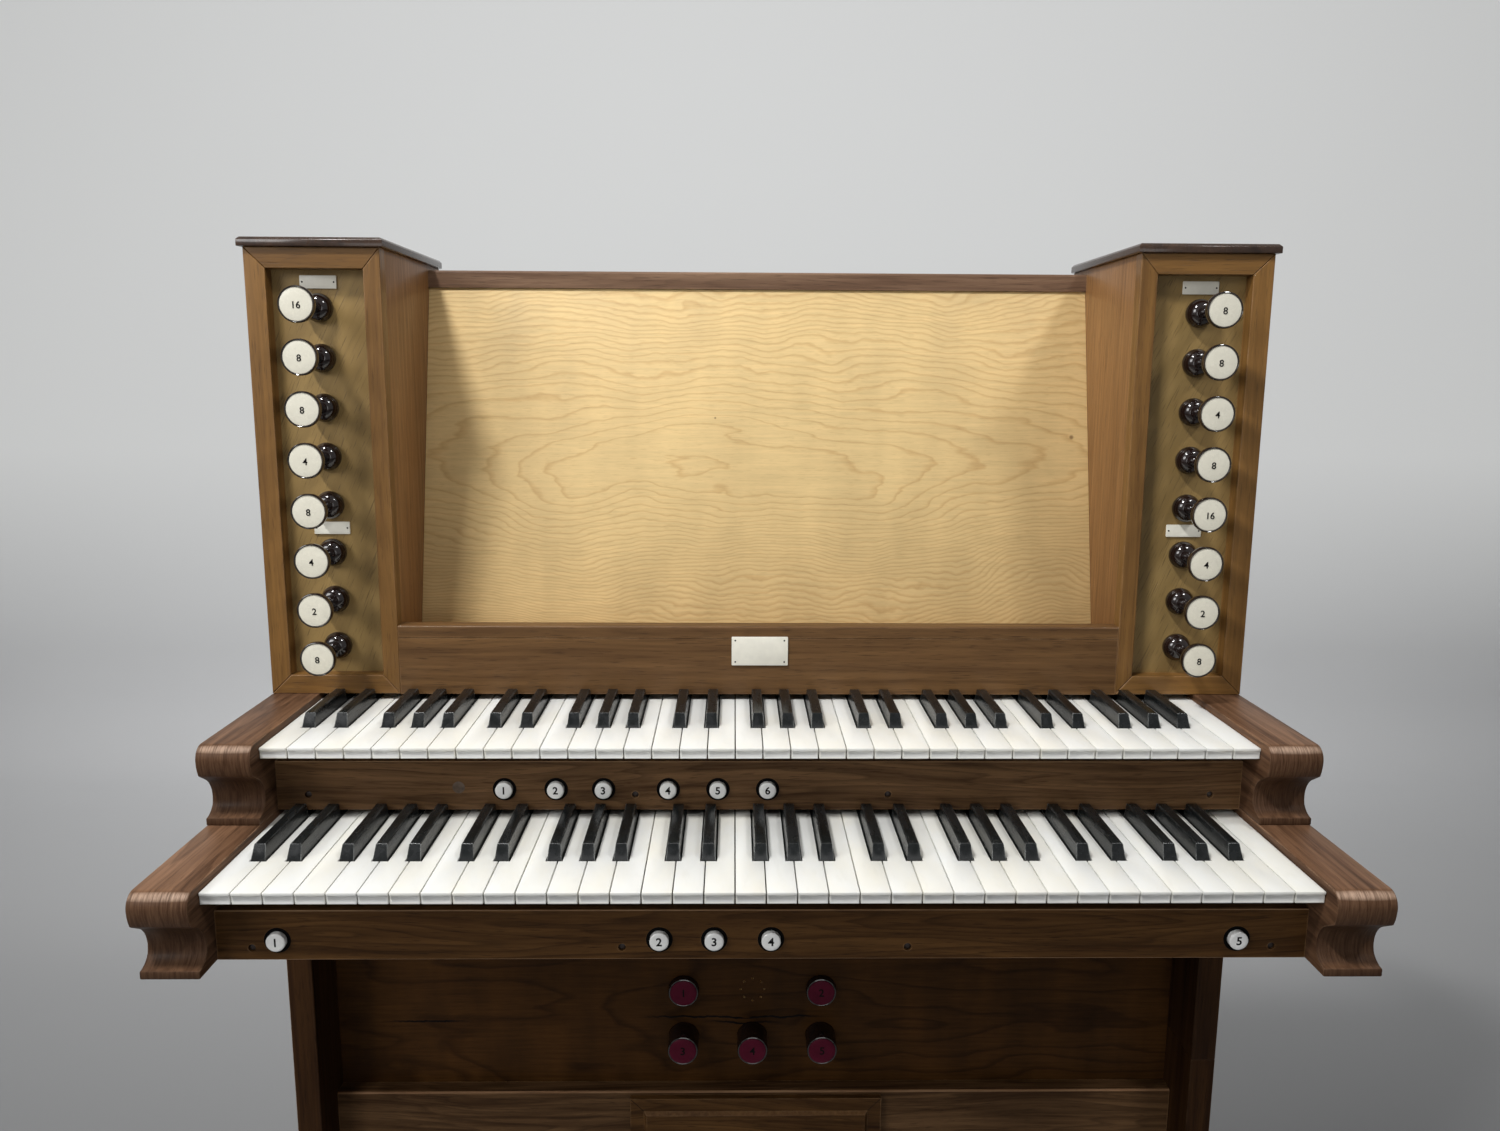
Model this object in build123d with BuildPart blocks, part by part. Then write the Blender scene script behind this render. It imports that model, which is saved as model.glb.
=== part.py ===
from build123d import *
import os
from math import atan2, cos, degrees, tan, radians

# Detached console of a pipe organ: two manuals of 61 notes, eight drawstops in each jamb, thumb pistons
# under both manuals, toe pistons in the kneeboard and a maple music desk between the jambs.
# +X is the player's right, +Y runs from the player to the back, +Z is up. The origin is on the floor,
# at the middle of the console's width and depth. Lengths are in millimetres.

os.makedirs("parts", exist_ok=True)

# Overall
overall_depth = 487.0
key_top_height = 865.0

# Keys
naturals_per_manual = 36
natural_pitch = 23.5
key_gap = 1.0
natural_head_length = 54.0
natural_face_height = 9.6
cover_thickness = 2.4
cover_overhang = 1.2
key_length = 320.0
key_end_clearance = 9.0
sharp_base_width = 11.5
sharp_top_width = 9.0
sharp_height = 12.0
sharp_front_slope = 6.0
sharp_back_slope = 0.6
sharp_edge_radius = 1.2
sharp_side_clearance = 1.0
sharp_front_clearance = 1.0
sharp_end_clearance = 2.0
sharp_shifts = {0: -2.4, 1: 2.4, 3: -3.0, 4: 0.0, 5: 3.0}
naturals_per_octave = 7
manual_setback = 118.0
manual_rise = 72.0

# Key cheeks, the shaped blocks beside each manual
cheek_width = 45.0
cheek_above_keys = 6.0
cheek_nose_overhang = 18.0
cheek_nose_radius = 12.0
cheek_cove_depth = 24.5
cheek_quirk_drop = 33.0
cheek_chin_inset = 3.0
cheek_chin_lift = 7.0
cheek_quirk_inset = 14.25
cheek_cove_lift = 4.0
cheek_arris_drop = 58.0
cheek_foot_overhang = 7.5
cheek_arris_inset = 23.5
cheek_flare_hollow = (1.6, -1.2)
cheek_fillet_height = 6.5
cheek_seat_depth = 43.0

# Piston rails, the boards under the keys that hold the thumb pistons
slip_setback = 21.0
upper_slip_setback = 30.0
slip_thickness = 18.0
slip_gap_behind = 18.0
lower_slip_top_drop = 25.0
upper_slip_top_drop = 22.5
upper_slip_lift = 5.0
slip_edge_radius = 1.0

# Key bed and key frames
key_bed_thickness = 30.0
upper_bed_thickness = 18.0
frame_rail_width = 40.0
frame_rail_places = (0.0, 110.0, 215.0)

# Case
side_thickness = 25.0
side_setback = 247.0
panel_thickness = 18.0
side_joint_drop = 304.0
side_joint_chamfer = 0.8
side_edge_radius = 1.5
kneeboard_setback = 310.0
kneeboard_lap = 55.0
lower_board_drop = 369.0
lower_board_edge_radius = 2.5
base_board_height = 40.0
back_overhang = 4.0

# Raised access board low in the front
access_width = 266.0
access_height = 300.0
access_top_drop = 4.0
access_thickness = 7.0
access_rim_width = 14.5
access_field_rise = 3.5
access_field_slope = 3.0

# Stop jambs
jamb_width = 122.7
jamb_setback = 258.4
jamb_height = 415.8
jamb_board = 15.0
jamb_frame_thickness = 14.5
outer_stile = 19.0
inner_stile = 16.0
frame_top_rail = 19.0
frame_bottom_rail = 18.6
glue_line = 0.2
frame_edge_radius = 0.9
stop_board_thickness = 10.0
cap_thickness = 8.3
cap_overhang = 4.0
cap_bevel = 2.4
cap_corner_radius = 9.0

# Drawstops
drawstops_per_jamb = 8
drawstop_pitch = 45.4
top_drawstop_lift = 362.8
drawstop_reach = 57.5
drawstop_head_radius = 16.2
drawstop_rim_radius = 1.6
drawstop_head_depth = 7.0
drawstop_shoulder_radius = 11.5
drawstop_shoulder_depth = 2.0
drawstop_neck_radius = 7.5
drawstop_neck_depth = 16.0
drawstop_shank_radius = 5.0
drawstop_tail = 45.0
drawstop_face_inset = 1.5
drawstop_face_rise = 0.8
drawstop_face_flat = 0.6
collar_radius = 13.3
collar_depth = 14.0
collar_lip = 3.0
collar_dome_depth = 0.77
collar_dome_radius = 0.74
running_clearance = 0.3

# Thumb pistons: places across the console, from its middle
thumb_face_radius = 7.4
thumb_reach = 5.0
thumb_length = 28.0
thumb_edge_radius = 0.8
thumb_recess_radius = 9.8
thumb_recess_depth = 2.0
upper_thumb_lift = 24.0
lower_thumb_drop = 49.5
upper_thumb_places = (-225.0, -180.0, -138.5, -82.0, -38.5, 5.0)
lower_thumb_places = (-376.0, -82.0, -39.5, 4.5, 368.0)

# Screw holes in the piston rails
screw_hole_radius = 3.0
screw_hole_depth = 2.5
screw_hole_places = (-396.0, -111.0, 111.0, 396.0)
upper_screw_lift = 19.0
lower_screw_drop = 56.0

# Toe pistons: the upper row stands less proud, and its missing middle one leaves a ring of small screw holes
toe_centre = -4.0
toe_pitch = 73.0
upper_toe_drop = 262.0
lower_toe_drop = 316.0
toe_radius = 16.0
toe_reach = 28.0
upper_toe_reach = 8.0
toe_length = 56.0
toe_edge_radius = 1.5
toe_face_radius = 14.6
toe_face_rise = 0.6
ghost_holes = 8
ghost_ring_radius = 12.5
ghost_hole_radius = 1.2
ghost_hole_depth = 8.0

# Nameboard, plates and music desk
nameboard_height = 67.0
nameboard_edge_radius = 2.0
lipping_drop = 11.7
lipping_groove = 0.7
nameplate_width = 54.0
nameplate_height = 28.0
nameplate_lift = 29.0
plate_thickness = 1.6
plate_corner_radius = 0.8
label_width = 33.6
label_height = 11.8
label_lifts = (159.0, 386.0)
ledge_drop = 27.0
ledge_thickness = 16.0
desk_foot_setback = 337.6
desk_top_setback = 421.0
desk_rail_drop = 5.3
desk_thickness = 12.0
desk_rail_height = 17.5
desk_rail_depth = 22.0
desk_rail_lip = 2.5
desk_rail_radius = 3.0

# Places that follow from the sizes
front_y = -overall_depth / 2
key_front_y = front_y + cheek_nose_overhang
case_back_y = overall_depth / 2 - back_overhang
half_keys = naturals_per_manual * natural_pitch / 2
case_half = half_keys + cheek_width
side_inner = case_half - side_thickness
side_front_y = key_front_y + side_setback
cheek_back_y = side_front_y + cheek_seat_depth
upper_front_y = key_front_y + manual_setback
upper_key_top = key_top_height + manual_rise
key_bottom = key_top_height - natural_face_height
upper_key_bottom = upper_key_top - natural_face_height
cheek_top = key_top_height + cheek_above_keys
upper_cheek_top = cheek_top + manual_rise
cheek_bottom = cheek_top - manual_rise
side_joint_height = key_top_height - side_joint_drop
lower_board_height = key_top_height - lower_board_drop
slip_y = key_front_y + slip_setback
upper_slip_y = upper_front_y + upper_slip_setback
lower_slip_top = key_top_height - lower_slip_top_drop
upper_slip_top = upper_key_top - upper_slip_top_drop
upper_slip_bottom = key_top_height + upper_slip_lift
key_bed_y = slip_y + slip_thickness + slip_gap_behind
key_bed_top = cheek_bottom + key_bed_thickness
upper_bed_y = upper_slip_y + slip_thickness + slip_gap_behind
upper_bed_bottom = upper_key_bottom - upper_bed_thickness
back_panel_y = case_back_y - panel_thickness
lower_key_back_y = key_front_y + key_length
upper_key_back_y = back_panel_y - key_end_clearance
kneeboard_y = key_front_y + kneeboard_setback
lower_board_y = kneeboard_y - panel_thickness
jamb_y = key_front_y + jamb_setback
jamb_inner = case_half - jamb_width
jamb_bottom = upper_cheek_top
jamb_top = jamb_bottom + jamb_height
desk_rail_top = jamb_top - desk_rail_drop
desk_top_height = desk_rail_top - desk_rail_height
label_heights = [jamb_bottom + lift for lift in label_lifts]
top_drawstop_height = jamb_bottom + top_drawstop_lift
stop_board_y = jamb_y + jamb_frame_thickness
stop_x = (jamb_inner + case_half) / 2
drawstop_face_y = stop_board_y - drawstop_reach
nameboard_top = jamb_bottom + nameboard_height
nameboard_back_y = jamb_y + panel_thickness
ledge_top = nameboard_top - ledge_drop
ledge_bottom = ledge_top - ledge_thickness
desk_foot_y = key_front_y + desk_foot_setback
desk_top_y = key_front_y + desk_top_setback
desk_lean = degrees(atan2(desk_top_y - desk_foot_y, desk_top_height - ledge_top))
upper_thumb_z = key_top_height + upper_thumb_lift
lower_thumb_z = key_top_height - lower_thumb_drop
upper_toe_z = key_top_height - upper_toe_drop
lower_toe_z = key_top_height - lower_toe_drop
toe_places = (toe_centre - toe_pitch, toe_centre, toe_centre + toe_pitch)


def keep(piece, name):
    """Labels a finished piece and writes it under the node's name."""
    piece.label = name
    export_step(piece, f"parts/{name}.step")


def board(x_from, x_to, y_from, y_to, z_from, z_to):
    """A plain board between two corners, made private so that its caller adds it where it belongs."""
    size = (x_to - x_from, y_to - y_from, z_to - z_from)
    middle = Pos((x_from + x_to) / 2, (y_from + y_to) / 2, (z_from + z_to) / 2)
    return middle * Box(*size, mode=Mode.PRIVATE)


def facing(y):
    """The upright plane at depth y that looks towards the player: local x is +X and local y is +Z."""
    return Plane(origin=(0, y, 0), x_dir=(1, 0, 0), z_dir=(0, -1, 0))


def natural_edge(boundary):
    """Where the line between two naturals lies across the console."""
    return -half_keys + boundary * natural_pitch


def has_sharp(boundary):
    """True where a sharp stands between the naturals left and right of this boundary."""
    inside = 0 < boundary < naturals_per_manual
    return inside and (boundary - 1) % naturals_per_octave in sharp_shifts


def sharp_place(boundary):
    """The middle of the sharp at this boundary."""
    return natural_edge(boundary) + sharp_shifts[(boundary - 1) % naturals_per_octave]


def tail_side(boundary, side):
    """The side of a natural's narrow tail beside this boundary: side is 1 right of it and -1 left of it."""
    if not has_sharp(boundary):
        return natural_edge(boundary) + side * key_gap / 2
    return sharp_place(boundary) + side * (sharp_base_width / 2 + sharp_side_clearance)


def natural_keys(front, back, top):
    """All naturals of one manual: a wide head, a tail between the sharps and a cover that overhangs the face."""
    shoulder = front + natural_head_length
    tail_length = back - shoulder
    with BuildPart() as keys:
        with BuildSketch(Plane.XY.offset(top - natural_face_height)):
            for i in range(naturals_per_manual):
                tail_left = tail_side(i, 1)
                tail_right = tail_side(i + 1, -1)
                with Locations((natural_edge(i + 0.5), front + natural_head_length / 2)):
                    Rectangle(natural_pitch - key_gap, natural_head_length)
                with Locations(((tail_left + tail_right) / 2, shoulder + tail_length / 2)):
                    Rectangle(tail_right - tail_left, tail_length)
        extrude(amount=natural_face_height)
        with BuildSketch(Plane.XY.offset(top)):
            for i in range(naturals_per_manual):
                with Locations((natural_edge(i + 0.5), front - cover_overhang / 2)):
                    Rectangle(natural_pitch - key_gap, cover_overhang)
        extrude(amount=-cover_thickness)
    return keys.part


def sharp_keys(front, back, top, cap_end):
    """All sharps of one manual: a key stick with a cap whose front and sides slope."""
    start = front + natural_head_length + sharp_front_clearance
    length = cap_end - start
    with BuildPart() as cap:
        with BuildSketch(Plane.XY.offset(top)):
            with Locations((0, start + length / 2)):
                Rectangle(sharp_base_width, length)
        with BuildSketch(Plane.XY.offset(top + sharp_height)):
            top_length = length - sharp_front_slope - sharp_back_slope
            with Locations((0, start + sharp_front_slope + top_length / 2)):
                Rectangle(sharp_top_width, top_length)
        loft()
        upper_face = cap.faces().sort_by(Axis.Z)[-1]
        fillet(upper_face.edges(), radius=sharp_edge_radius)
    with BuildPart() as keys:
        for boundary in range(1, naturals_per_manual):
            if has_sharp(boundary):
                x = sharp_place(boundary)
                half = sharp_base_width / 2
                add(Pos(x, 0, 0) * cap.part)
                add(board(x - half, x + half, start, back, top - natural_face_height, top))
    return keys.part


def cheek_blocks(front, top, back):
    """The pair of shaped blocks beside a manual: a bull nose, a quirk, a cove and a foot that flares forward."""
    nose_y = front - cheek_nose_overhang
    bottom = top - manual_rise
    chin = (nose_y + cheek_chin_inset, top - cheek_quirk_drop + cheek_chin_lift)
    quirk = (nose_y + cheek_quirk_inset, top - cheek_quirk_drop)
    cove = (nose_y + cheek_cove_depth, top - (cheek_quirk_drop + cheek_arris_drop) / 2 - cheek_cove_lift)
    arris = (nose_y + cheek_arris_inset, top - cheek_arris_drop)
    foot = (front - cheek_foot_overhang, bottom + cheek_fillet_height)
    flare = ((arris[0] + foot[0]) / 2 + cheek_flare_hollow[0], (arris[1] + foot[1]) / 2 + cheek_flare_hollow[1])
    blocks = []
    for side in (-1, 1):
        start = side * half_keys if side > 0 else -case_half
        with BuildPart() as block:
            with BuildSketch(Plane.YZ.offset(start)):
                with BuildLine():
                    Line((back, top), (nose_y + cheek_nose_radius, top))
                    nose = TangentArc((nose_y + cheek_nose_radius, top), (nose_y, top - cheek_nose_radius),
                                      tangent=(-1, 0))
                    TangentArc((nose_y, top - cheek_nose_radius), chin, tangent=nose % 1)
                    Line(chin, quirk)
                    ThreePointArc(quirk, cove, arris)
                    ThreePointArc(arris, flare, foot)
                    Line(foot, (foot[0], bottom))
                    Line((foot[0], bottom), (back, bottom))
                    Line((back, bottom), (back, top))
                make_face()
            extrude(amount=cheek_width)
        blocks.append(block.part)
    return blocks


def both_sides(pieces):
    """The given right-hand pieces with their mirror images on the left, as one group of separate solids."""
    with BuildPart() as pair:
        for piece in pieces:
            add(piece)
            add(mirror(piece, about=Plane.YZ, mode=Mode.PRIVATE))
    return pair.part


# Manuals
sharp_end_lower = upper_slip_y - sharp_end_clearance
sharp_end_upper = jamb_y - sharp_end_clearance
keep(natural_keys(key_front_y, lower_key_back_y, key_top_height), "lower_naturals")
keep(sharp_keys(key_front_y, lower_key_back_y, key_top_height, sharp_end_lower), "lower_sharps")
keep(natural_keys(upper_front_y, upper_key_back_y, upper_key_top), "upper_naturals")
keep(sharp_keys(upper_front_y, upper_key_back_y, upper_key_top, sharp_end_upper), "upper_sharps")

# Key cheeks
with BuildPart() as lower_key_cheeks:
    add(cheek_blocks(key_front_y, cheek_top, cheek_back_y))
keep(lower_key_cheeks.part, "lower_key_cheeks")
with BuildPart() as upper_key_cheeks:
    add(cheek_blocks(upper_front_y, upper_cheek_top, cheek_back_y))
keep(upper_key_cheeks.part, "upper_key_cheeks")


def piston_rail(front, bottom, top, thumb_places, thumb_z, screw_z):
    """A board under a manual with bores for its thumb pistons and the recessed heads of its screws."""
    with BuildPart() as rail:
        add(board(-half_keys, half_keys, front, front + slip_thickness, bottom, top))
        front_edges = rail.faces().sort_by(Axis.Y)[0].edges().filter_by(Axis.X)
        fillet(front_edges, radius=slip_edge_radius)
        with Locations(facing(front)):
            with Locations(*[(x, thumb_z) for x in thumb_places]):
                CounterBoreHole(radius=thumb_face_radius + running_clearance,
                                counter_bore_radius=thumb_recess_radius,
                                counter_bore_depth=thumb_recess_depth, depth=slip_thickness)
            with Locations(*[(x, screw_z) for x in screw_hole_places]):
                Hole(radius=screw_hole_radius, depth=screw_hole_depth)
    return rail.part


keep(piston_rail(slip_y, cheek_bottom, lower_slip_top, lower_thumb_places, lower_thumb_z,
                 key_top_height - lower_screw_drop), "lower_piston_rail")
keep(piston_rail(upper_slip_y, upper_slip_bottom, upper_slip_top, upper_thumb_places, upper_thumb_z,
                 key_top_height + upper_screw_lift), "upper_piston_rail")

# Key bed: narrow between the cheeks, wide between the sides behind them
with BuildPart() as key_bed:
    add(board(-half_keys, half_keys, key_bed_y, cheek_back_y, cheek_bottom, key_bed_top))
    add(board(-side_inner, side_inner, cheek_back_y, back_panel_y, cheek_bottom, key_bed_top))
keep(key_bed.part, "key_bed")

with BuildPart() as lower_key_frame:
    for place in frame_rail_places:
        rail_y = key_bed_y + place
        add(board(-half_keys, half_keys, rail_y, rail_y + frame_rail_width, key_bed_top, key_bottom))
keep(lower_key_frame.part, "lower_key_frame")

with BuildPart() as upper_key_bed:
    add(board(-half_keys, half_keys, upper_bed_y, back_panel_y, upper_bed_bottom, upper_key_bottom))
keep(upper_key_bed.part, "upper_key_bed")


def side_outline(bottom):
    """The edge of a side: its front steps back under the jamb, where the cheeks sit on its shoulder."""
    return [
        (side_front_y, bottom), (case_back_y, bottom), (case_back_y, jamb_bottom), (cheek_back_y, jamb_bottom),
        (cheek_back_y, cheek_bottom), (side_front_y, cheek_bottom), (side_front_y, bottom),
    ]


def side(start, bottom):
    """One upright side of the case."""
    with BuildPart() as upright:
        with BuildSketch(Plane.YZ.offset(start)):
            with BuildLine():
                Polyline(*side_outline(bottom))
            make_face()
        extrude(amount=side_thickness)
        front_edges = upright.faces().sort_by(Axis.Y)[0].edges().filter_by(Axis.Z)
        fillet(front_edges, radius=side_edge_radius)
    return upright.part


# Sides: the right one is made in two lengths, with a joint low down
with BuildPart() as side_panels:
    add(side(-case_half, 0))
    add(side(side_inner, side_joint_height))
keep(side_panels.part, "side_panels")

with BuildPart() as right_side_foot:
    add(board(side_inner, case_half, side_front_y, case_back_y, 0, side_joint_height))
    upright_edges = right_side_foot.faces().sort_by(Axis.Y)[0].edges().filter_by(Axis.Z)
    fillet(upright_edges, radius=side_edge_radius)
    chamfer(right_side_foot.faces().sort_by(Axis.Z)[-1].edges(), length=side_joint_chamfer)
keep(right_side_foot.part, "right_side_foot")

# Back, knee and base boards
with BuildPart() as back_panel:
    add(board(-side_inner, side_inner, back_panel_y, case_back_y, 0, jamb_bottom))
    add(board(-jamb_inner, jamb_inner, back_panel_y, case_back_y, jamb_bottom, ledge_bottom))
keep(back_panel.part, "back_panel")

with BuildPart() as kneeboard:
    knee_bottom = lower_board_height - kneeboard_lap
    add(board(-side_inner, side_inner, kneeboard_y, kneeboard_y + panel_thickness, knee_bottom, cheek_bottom))
    with Locations(facing(kneeboard_y)):
        with Locations((toe_places[0], upper_toe_z), (toe_places[2], upper_toe_z)):
            Hole(radius=toe_radius + running_clearance, depth=panel_thickness)
        with Locations(*[(x, lower_toe_z) for x in toe_places]):
            Hole(radius=toe_radius + running_clearance, depth=panel_thickness)
        with Locations((toe_places[1], upper_toe_z)):
            with PolarLocations(ghost_ring_radius, ghost_holes):
                Hole(radius=ghost_hole_radius, depth=ghost_hole_depth)
keep(kneeboard.part, "kneeboard")

with BuildPart() as lower_kneeboard:
    add(board(-side_inner, side_inner, lower_board_y, kneeboard_y, 0, lower_board_height))
    top_front = lower_kneeboard.faces().sort_by(Axis.Y)[0].edges().sort_by(Axis.Z)[-1]
    fillet(top_front, radius=lower_board_edge_radius)
keep(lower_kneeboard.part, "lower_kneeboard")

with BuildPart() as base_board:
    add(board(-side_inner, side_inner, kneeboard_y, back_panel_y, base_board_height,
              base_board_height + panel_thickness))
keep(base_board.part, "base_board")

# Raised access board: a plain rim round a field with sloped edges
access_middle = lower_board_height - access_top_drop - access_height / 2
with BuildPart() as access_board:
    with BuildSketch(facing(lower_board_y)):
        with Locations((0, access_middle)):
            Rectangle(access_width, access_height)
    extrude(amount=access_thickness)
    field_width = access_width - 2 * access_rim_width
    field_height = access_height - 2 * access_rim_width
    with BuildSketch(facing(lower_board_y - access_thickness)):
        with Locations((0, access_middle)):
            Rectangle(field_width, field_height)
    with BuildSketch(facing(lower_board_y - access_thickness - access_field_rise)):
        with Locations((0, access_middle)):
            Rectangle(field_width - 2 * access_field_slope, field_height - 2 * access_field_slope)
    loft()
keep(access_board.part, "access_board")

# Jamb cases: boards that stop a glue line short of each other
with BuildPart() as right_jamb_case:
    case_front = stop_board_y
    inner_face = jamb_inner + jamb_board
    outer_face = case_half - jamb_board
    back_face = case_back_y - jamb_board
    add(board(jamb_inner, inner_face, case_front, case_back_y, jamb_bottom, jamb_top))
    add(board(outer_face, case_half, case_front, case_back_y, jamb_bottom, jamb_top))
    add(board(inner_face + glue_line, outer_face - glue_line, back_face, case_back_y, jamb_bottom, jamb_top))
    floor_front = stop_board_y + stop_board_thickness + glue_line
    add(board(inner_face + glue_line, outer_face - glue_line, floor_front, back_face - glue_line,
              jamb_bottom, jamb_bottom + jamb_board))
keep(both_sides(right_jamb_case.solids()), "jamb_cases")

# Jamb frames: four mitred members round each stop board
window_inner = jamb_inner + inner_stile
window_outer = case_half - outer_stile
window_bottom = jamb_bottom + frame_bottom_rail
window_top = jamb_top - frame_top_rail
outer_corners = [(jamb_inner, jamb_bottom), (case_half, jamb_bottom), (case_half, jamb_top), (jamb_inner, jamb_top)]
window_corners = [(window_inner, window_bottom), (window_outer, window_bottom),
                  (window_outer, window_top), (window_inner, window_top)]
frame_members = []
for i in range(4):
    j = (i + 1) % 4
    with BuildPart() as member:
        with BuildSketch(facing(jamb_y)):
            with BuildLine():
                Polyline(outer_corners[i], outer_corners[j], window_corners[j], window_corners[i],
                         outer_corners[i])
            make_face()
            offset(amount=-glue_line / 2, kind=Kind.INTERSECTION, mode=Mode.REPLACE)
        extrude(amount=-jamb_frame_thickness)
        fillet(member.faces().sort_by(Axis.Y)[0].edges(), radius=frame_edge_radius)
    frame_members.append(member.part)
keep(both_sides(frame_members), "jamb_frames")

# Stop boards with the bores that guide the drawstop shanks
drawstop_heights = [top_drawstop_height - n * drawstop_pitch for n in range(drawstops_per_jamb)]
with BuildPart() as right_stop_board:
    add(board(inner_face + glue_line, outer_face - glue_line, stop_board_y,
              stop_board_y + stop_board_thickness, jamb_bottom, jamb_top))
    with Locations(facing(stop_board_y)):
        with Locations(*[(stop_x, z) for z in drawstop_heights]):
            Hole(radius=drawstop_shank_radius + running_clearance, depth=stop_board_thickness)
keep(both_sides([right_stop_board.part]), "stop_boards")

# Caps: bevelled above, with a rounded corner towards the desk at the back
with BuildPart() as right_cap:
    cap_inner = jamb_inner - cap_overhang
    cap_outer = case_half + cap_overhang
    add(board(cap_inner, cap_outer, jamb_y - cap_overhang, case_back_y + back_overhang,
              jamb_top, jamb_top + cap_thickness))
    corner = right_cap.edges().filter_by(Axis.Z).sort_by(Axis.Y)[-2:].sort_by(Axis.X)[0]
    fillet(corner, radius=cap_corner_radius)
    chamfer(right_cap.faces().sort_by(Axis.Z)[-1].edges(), length=cap_bevel)
keep(both_sides([right_cap.part]), "jamb_caps")

# Drawstop collars: turned domes on the stop boards
with BuildPart() as collar:
    with BuildSketch(Plane.YZ):
        with BuildLine():
            bore = drawstop_shank_radius + running_clearance
            Line((0, bore), (0, collar_radius))
            Line((0, collar_radius), (-collar_lip, collar_radius))
            ThreePointArc((-collar_lip, collar_radius),
                          (-collar_lip - (collar_depth - collar_lip) * collar_dome_depth,
                           bore + (collar_radius - bore) * collar_dome_radius),
                          (-collar_depth, bore))
            Line((-collar_depth, bore), (0, bore))
        make_face()
    revolve(axis=Axis.Y)
right_collars = [Pos(stop_x, stop_board_y, z) * collar.part for z in drawstop_heights]
keep(both_sides(right_collars), "drawstop_collars")

# Drawstops: a wide head with a domed face, a turned neck and a shank that slides in the stop board
head_back = drawstop_head_depth
shoulder_start = head_back - drawstop_shoulder_depth
neck_start = head_back + drawstop_shoulder_depth
neck_end = head_back + drawstop_neck_depth
shank_end = drawstop_reach + stop_board_thickness + drawstop_tail
with BuildPart() as drawstop:
    with BuildSketch(Plane.YZ):
        with BuildLine():
            face_radius = drawstop_head_radius - drawstop_face_inset
            ThreePointArc((-drawstop_face_rise, 0), (-drawstop_face_flat, face_radius / 2),
                          (0, face_radius))
            Line((0, face_radius), (drawstop_rim_radius, drawstop_head_radius))
            Line((drawstop_rim_radius, drawstop_head_radius), (shoulder_start, drawstop_head_radius))
            Line((shoulder_start, drawstop_head_radius), (head_back, drawstop_shoulder_radius))
            Line((head_back, drawstop_shoulder_radius), (neck_start, drawstop_neck_radius))
            Line((neck_start, drawstop_neck_radius), (neck_end, drawstop_shank_radius))
            Line((neck_end, drawstop_shank_radius), (shank_end, drawstop_shank_radius))
            Line((shank_end, drawstop_shank_radius), (shank_end, 0))
            Line((shank_end, 0), (-drawstop_face_rise, 0))
        make_face()
    revolve(axis=Axis.Y)
for n in range(drawstops_per_jamb):
    for side_name, sign in (("left", -1), ("right", 1)):
        placed = Pos(sign * stop_x, drawstop_face_y, drawstop_heights[n]) * drawstop.part
        keep(placed, f"{side_name}_drawstop_{n + 1}")

# Thumb pistons
with BuildPart() as thumb_piston:
    with BuildSketch(facing(-thumb_reach)):
        Circle(thumb_face_radius)
    extrude(amount=-thumb_length)
    fillet(thumb_piston.faces().sort_by(Axis.Y)[0].edges(), radius=thumb_edge_radius)
for n in range(len(upper_thumb_places)):
    placed = Pos(upper_thumb_places[n], upper_slip_y, upper_thumb_z) * thumb_piston.part
    keep(placed, f"upper_thumb_piston_{n + 1}")
for n in range(len(lower_thumb_places)):
    placed = Pos(lower_thumb_places[n], slip_y, lower_thumb_z) * thumb_piston.part
    keep(placed, f"lower_thumb_piston_{n + 1}")

# Toe pistons
with BuildPart() as toe_piston:
    with BuildSketch(facing(-toe_reach)):
        Circle(toe_radius)
    extrude(amount=-toe_length)
    fillet(toe_piston.faces().sort_by(Axis.Y)[0].edges(), radius=toe_edge_radius)
    with BuildSketch(facing(-toe_reach)):
        Circle(toe_face_radius)
    extrude(amount=toe_face_rise)
upper_toe_y = kneeboard_y + toe_reach - upper_toe_reach
toe_positions = [(toe_places[0], upper_toe_y, upper_toe_z), (toe_places[2], upper_toe_y, upper_toe_z)]
toe_positions += [(x, kneeboard_y, lower_toe_z) for x in toe_places]
for n in range(len(toe_positions)):
    keep(Pos(*toe_positions[n]) * toe_piston.part, f"toe_piston_{n + 1}")

# Nameboard, with its plate and the small plates on the stop boards
with BuildPart() as nameboard:
    add(board(-jamb_inner, jamb_inner, jamb_y, nameboard_back_y, jamb_bottom, nameboard_top))
    fillet(nameboard.faces().sort_by(Axis.Z)[-1].edges().filter_by(Axis.X), radius=nameboard_edge_radius)
    groove_z = nameboard_top - lipping_drop
    add(board(-jamb_inner, jamb_inner, jamb_y, jamb_y + lipping_groove, groove_z - lipping_groove / 2,
              groove_z + lipping_groove / 2), mode=Mode.SUBTRACT)
keep(nameboard.part, "nameboard")


def plate(x, front, z, width, height):
    """A thin plate with eased corners that lies on the board behind it."""
    with BuildPart() as thin:
        with BuildSketch(facing(front)):
            with Locations((x, z)):
                RectangleRounded(width, height, plate_corner_radius)
        extrude(amount=plate_thickness)
    return thin.part


nameplate_z = jamb_bottom + nameplate_lift + nameplate_height / 2
with BuildPart() as label_plates:
    add(plate(0, jamb_y, nameplate_z, nameplate_width, nameplate_height))
    for z in label_heights:
        add(plate(-stop_x, stop_board_y, z, label_width, label_height))
        add(plate(stop_x, stop_board_y, z, label_width, label_height))
keep(label_plates.part, "label_plates")

# Music desk: a ledge behind the nameboard, a leaning panel and its top rail
with BuildPart() as desk_ledge:
    add(board(-jamb_inner, jamb_inner, nameboard_back_y, case_back_y, ledge_bottom, ledge_top))
keep(desk_ledge.part, "desk_ledge")

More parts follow.
